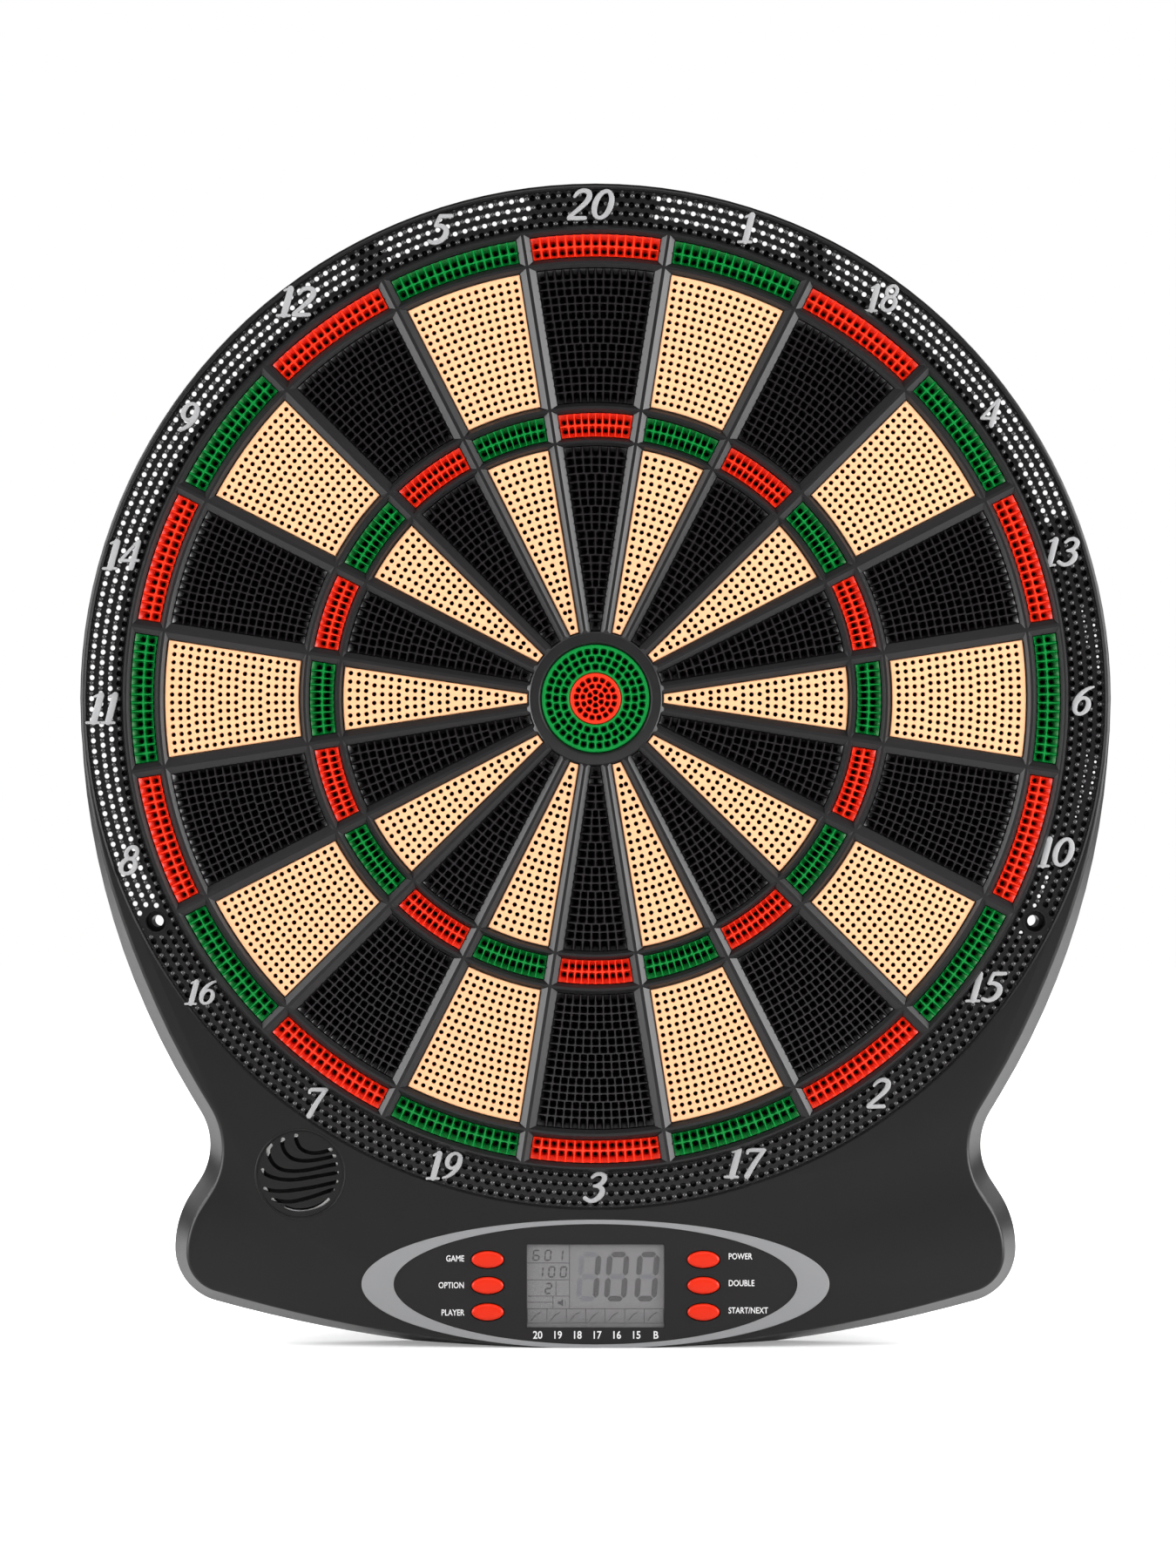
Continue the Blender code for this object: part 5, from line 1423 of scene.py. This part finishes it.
def make_door():
    """The battery door: a plate with grip grooves, a finger notch and two pins at its top edge."""
    x_range = (BAY_X[0] + 0.4 * MM, BAY_X[1] - 0.4 * MM)
    z_range = (BAY_Z[0] + 0.4 * MM, BAY_Z[1] - 0.7 * MM)
    ease = 0.35 * MM
    inner_x = (x_range[0] + ease, x_range[1] - ease)
    inner_z = (z_range[0] + ease, z_range[1] - ease)
    plate = loft("door", (
        (rounded_rectangle(x_range, z_range, 1.0 * MM), DOOR_FRONT),
        (rounded_rectangle(x_range, z_range, 1.0 * MM), DOOR_BACK + ease),
        (rounded_rectangle(inner_x, inner_z, 0.8 * MM), DOOR_BACK),
    ))
    ends = ((x_range[0] - MM, x_range[0] + MM), (x_range[1] - MM, x_range[1] + MM))
    pins = [rod_across("pin", end, -HINGE_DEPTH, HINGE_Z, HINGE_PIN_R, 20) for end in ends]
    middle = sum(x_range) / 2
    grips = []
    for i in range(7):
        z = z_range[0] + (3.2 + 1.6 * i) * MM
        reach = (9.0 - 0.9 * i) * MM
        outline = rounded_rectangle((middle - reach, middle + reach), (z, z + 0.8 * MM), 0.35 * MM)
        grips.append(plate_solid(outline, DOOR_BACK + 0.45 * MM, -MM))
    notch = rod("finger_notch", middle, z_range[0] - 3 * MM, 5 * MM, DOOR_BACK + 0.9 * MM, -MM, 48)
    mesh = carved(plate, ("UNION", pins), ("DIFFERENCE", grips), ("DIFFERENCE", [notch]))
    piece("door_panel", shaded(mesh), "battery_door", "black_plastic", replaces=("battery_door",))


def make_screws():
    """Cover screws: a domed head with a cross recess on a threaded shank."""
    profile = [(0, 13.4 * MM)]
    for i in range(12):
        depth = 12.6 * MM - 0.68 * MM * i
        profile += [(1.02 * MM, depth), (1.4 * MM, depth - 0.34 * MM)]
    profile += [(1.4 * MM, 4.12 * MM), (2.85 * MM, 4.1 * MM), (2.9 * MM, 3.2 * MM), (2.5 * MM, 2.62 * MM),
                (1.6 * MM, 2.36 * MM), (0, 2.3 * MM)]
    long, thin = 1.5 * MM, 0.35 * MM
    for i, (x, z) in enumerate(SCREWS):
        arms = [block("arm", (x - long, x + long), (z - thin, z + thin), 3.3 * MM, 1.5 * MM)]
        arms.append(block("arm", (x - thin, x + thin), (z - long, z + long), 3.2 * MM, 1.4 * MM))
        screw = turned("screw", profile, 24, (x, z))
        mesh = shaded(carved(screw, ("DIFFERENCE", arms[:1]), ("DIFFERENCE", arms[1:])), 40)
        name = f"cover_screw_{i + 1}"
        piece(f"{name}_detail", mesh, "board", "steel", replaces=(name,))


def make_batteries():
    """Three AA cells with a printed band, rounded shoulders and a tip."""
    middle_z = sum(BAY_Z) / 2
    start = sum(BAY_X) / 2 - CELL_LENGTH / 2 - 1.5 * MM
    y = -(BAY_DEPTH - CELL_R - 0.3 * MM)
    length = CELL_LENGTH
    shoulder = length - 1.2 * MM
    can = (
        (0, length), (2.4 * MM, length), (2.7 * MM, length - 0.3 * MM), (2.7 * MM, shoulder),
        (6.2 * MM, shoulder - 0.05 * MM), (6.9 * MM, shoulder - 0.4 * MM), (CELL_R, shoulder - 1.0 * MM),
        (CELL_R, 0.5 * MM), (6.8 * MM, 0.1 * MM), (6.0 * MM, 0), (0, 0),
    )
    band_r = CELL_R + 0.05 * MM
    band = ((0, length * 0.95), (band_r, length * 0.95), (band_r, length * 0.70), (0, length * 0.70))
    for i in range(3):
        z = middle_z + (1 - i) * CELL_PITCH
        move = Matrix.Translation((start, y, z)) @ Matrix.Rotation(math.pi / 2, 4, "Z")
        name = f"battery_{i + 1}"
        for part, profile, finish in (("can", can, "battery_wrap"), ("band", band, "battery_band")):
            mesh = turned(part, profile, 64)
            mesh.transform(move)
            replaced = (name,) if part == "can" else ()
            piece(f"{name}_{part}", shaded(mesh), "board", finish, replaced)


# ---- stage, lights and camera --------------------------------------------------------------------------
def make_camera():
    """A camera straight in front of the board, a little below its bull."""
    data = bpy.data.cameras.new("camera")
    data.sensor_width = 36.0
    data.lens = 104.5
    made = shown("camera", data)
    made.location = (-2.8 * MM, -(1.7 + FACE), -31.9 * MM)
    made.rotation_euler = (math.pi / 2, 0, 0)
    bpy.context.scene.camera = made


def area_light(name, place, target, size, power):
    """A flat soft light that faces its target."""
    data = bpy.data.lights.new(name, "AREA")
    data.shape = "RECTANGLE"
    data.size, data.size_y = size
    data.energy = power
    made = shown(name, data)
    made.location = place
    made.rotation_euler = (Vector(target) - Vector(place)).to_track_quat("-Z", "Z").to_euler()


def pale_floor():
    """A pale floor that looks evenly lit to the camera, with a painted soft shadow under the board."""
    made = plastic("pale_floor", (0.80, 0.80, 0.80), 0.8, 300, 0.02, 0.01, 0.1)
    links = made.node_tree.links
    shader = made.node_tree.nodes["Principled BSDF"]
    shader.inputs["Emission Color"].default_value = (1, 1, 1, 1)
    place = node_of(made, "TexCoord")
    # Painted shadow: the floor's glow to the camera is weaker in an oval round the board's foot, and rises to
    # full away from it.
    squeeze = node_of(made, "Mapping", (("Scale", (1 / 0.26, 1 / 0.13, 0)),))
    links.new(place.outputs["Object"], squeeze.inputs["Vector"])
    reach = node_of(made, "VectorMath")
    reach.operation = "LENGTH"
    links.new(squeeze.outputs["Vector"], reach.inputs[0])
    limits = (("From Min", 0.25), ("From Max", 1.0), ("To Min", 0.25), ("To Max", 0.98))
    spread = node_of(made, "MapRange", limits)
    spread.interpolation_type = "SMOOTHSTEP"
    links.new(reach.outputs["Value"], spread.inputs["Value"])
    rays = node_of(made, "LightPath")
    level = node_of(made, "Math")
    level.operation = "MULTIPLY"
    links.new(spread.outputs["Result"], level.inputs[0])
    links.new(rays.outputs["Is Camera Ray"], level.inputs[1])
    links.new(level.outputs["Value"], shader.inputs["Emission Strength"])
    return made


def make_stage():
    """A white room with a pale floor, a tall soft box at each side and a weak fill from above."""
    scene = bpy.context.scene
    scene.view_settings.view_transform = "Standard"
    world = bpy.data.worlds.new("studio")
    scene.world = world
    world.use_nodes = True
    links = world.node_tree.links
    rays = node_of(world, "LightPath")
    level = node_of(world, "Mix")
    level.data_type = "RGBA"
    level.inputs["A"].default_value = (0.10, 0.10, 0.104, 1)
    level.inputs["B"].default_value = (1, 1, 1, 1)
    links.new(rays.outputs["Is Camera Ray"], level.inputs["Factor"])
    links.new(level.outputs["Result"], world.node_tree.nodes["Background"].inputs["Color"])

    floor = slab("floor", [rounded_rectangle((-3.5, 3.5), (-3.5, 3.5), 0.5)], 0.005, 0.0)
    floor.transform(Matrix.Translation((0, 0, cad_box[0].z - 0.0005)) @ Matrix.Rotation(-math.pi / 2, 4, "X"))
    floor.materials.append(pale_floor())
    shown("floor", floor)

    middle = (0, 0, 0)
    area_light("left_box", (-1.15, -0.47, 0.1), (0, -0.25, 0), (1.1, 1.2), 29)
    area_light("right_box", (1.15, -0.47, 0.1), (0, -0.25, 0), (1.1, 1.2), 37)
    area_light("top_box", (0, -1.5, 1.5), middle, (1.6, 0.8), 14)
    area_light("back_left", (-1.5, 1.3, 0.9), middle, (1.0, 1.0), 22)
    area_light("back_right", (1.5, 1.3, 0.9), middle, (1.0, 1.0), 22)


def assign_carried_over():
    """Finishes for the CAD nodes that stay."""
    slots = {part["node"]: part["material_slot"] for part in frame["record"]["subparts"]}
    for name, node in frame["nodes"].items():
        node.data.materials.clear()
        node.data.materials.append(MATERIALS[slots[name]])


def main():
    """Builds the whole scene."""
    make_camera()
    make_stage()
    assign_carried_over()
    make_segments()
    make_bulls()
    make_web()
    make_number_ring()
    make_numerals()
    make_housing()
    make_panel()
    make_display()
    make_buttons()
    make_cover()
    make_tab()
    make_door()
    make_screws()
    make_batteries()


main()
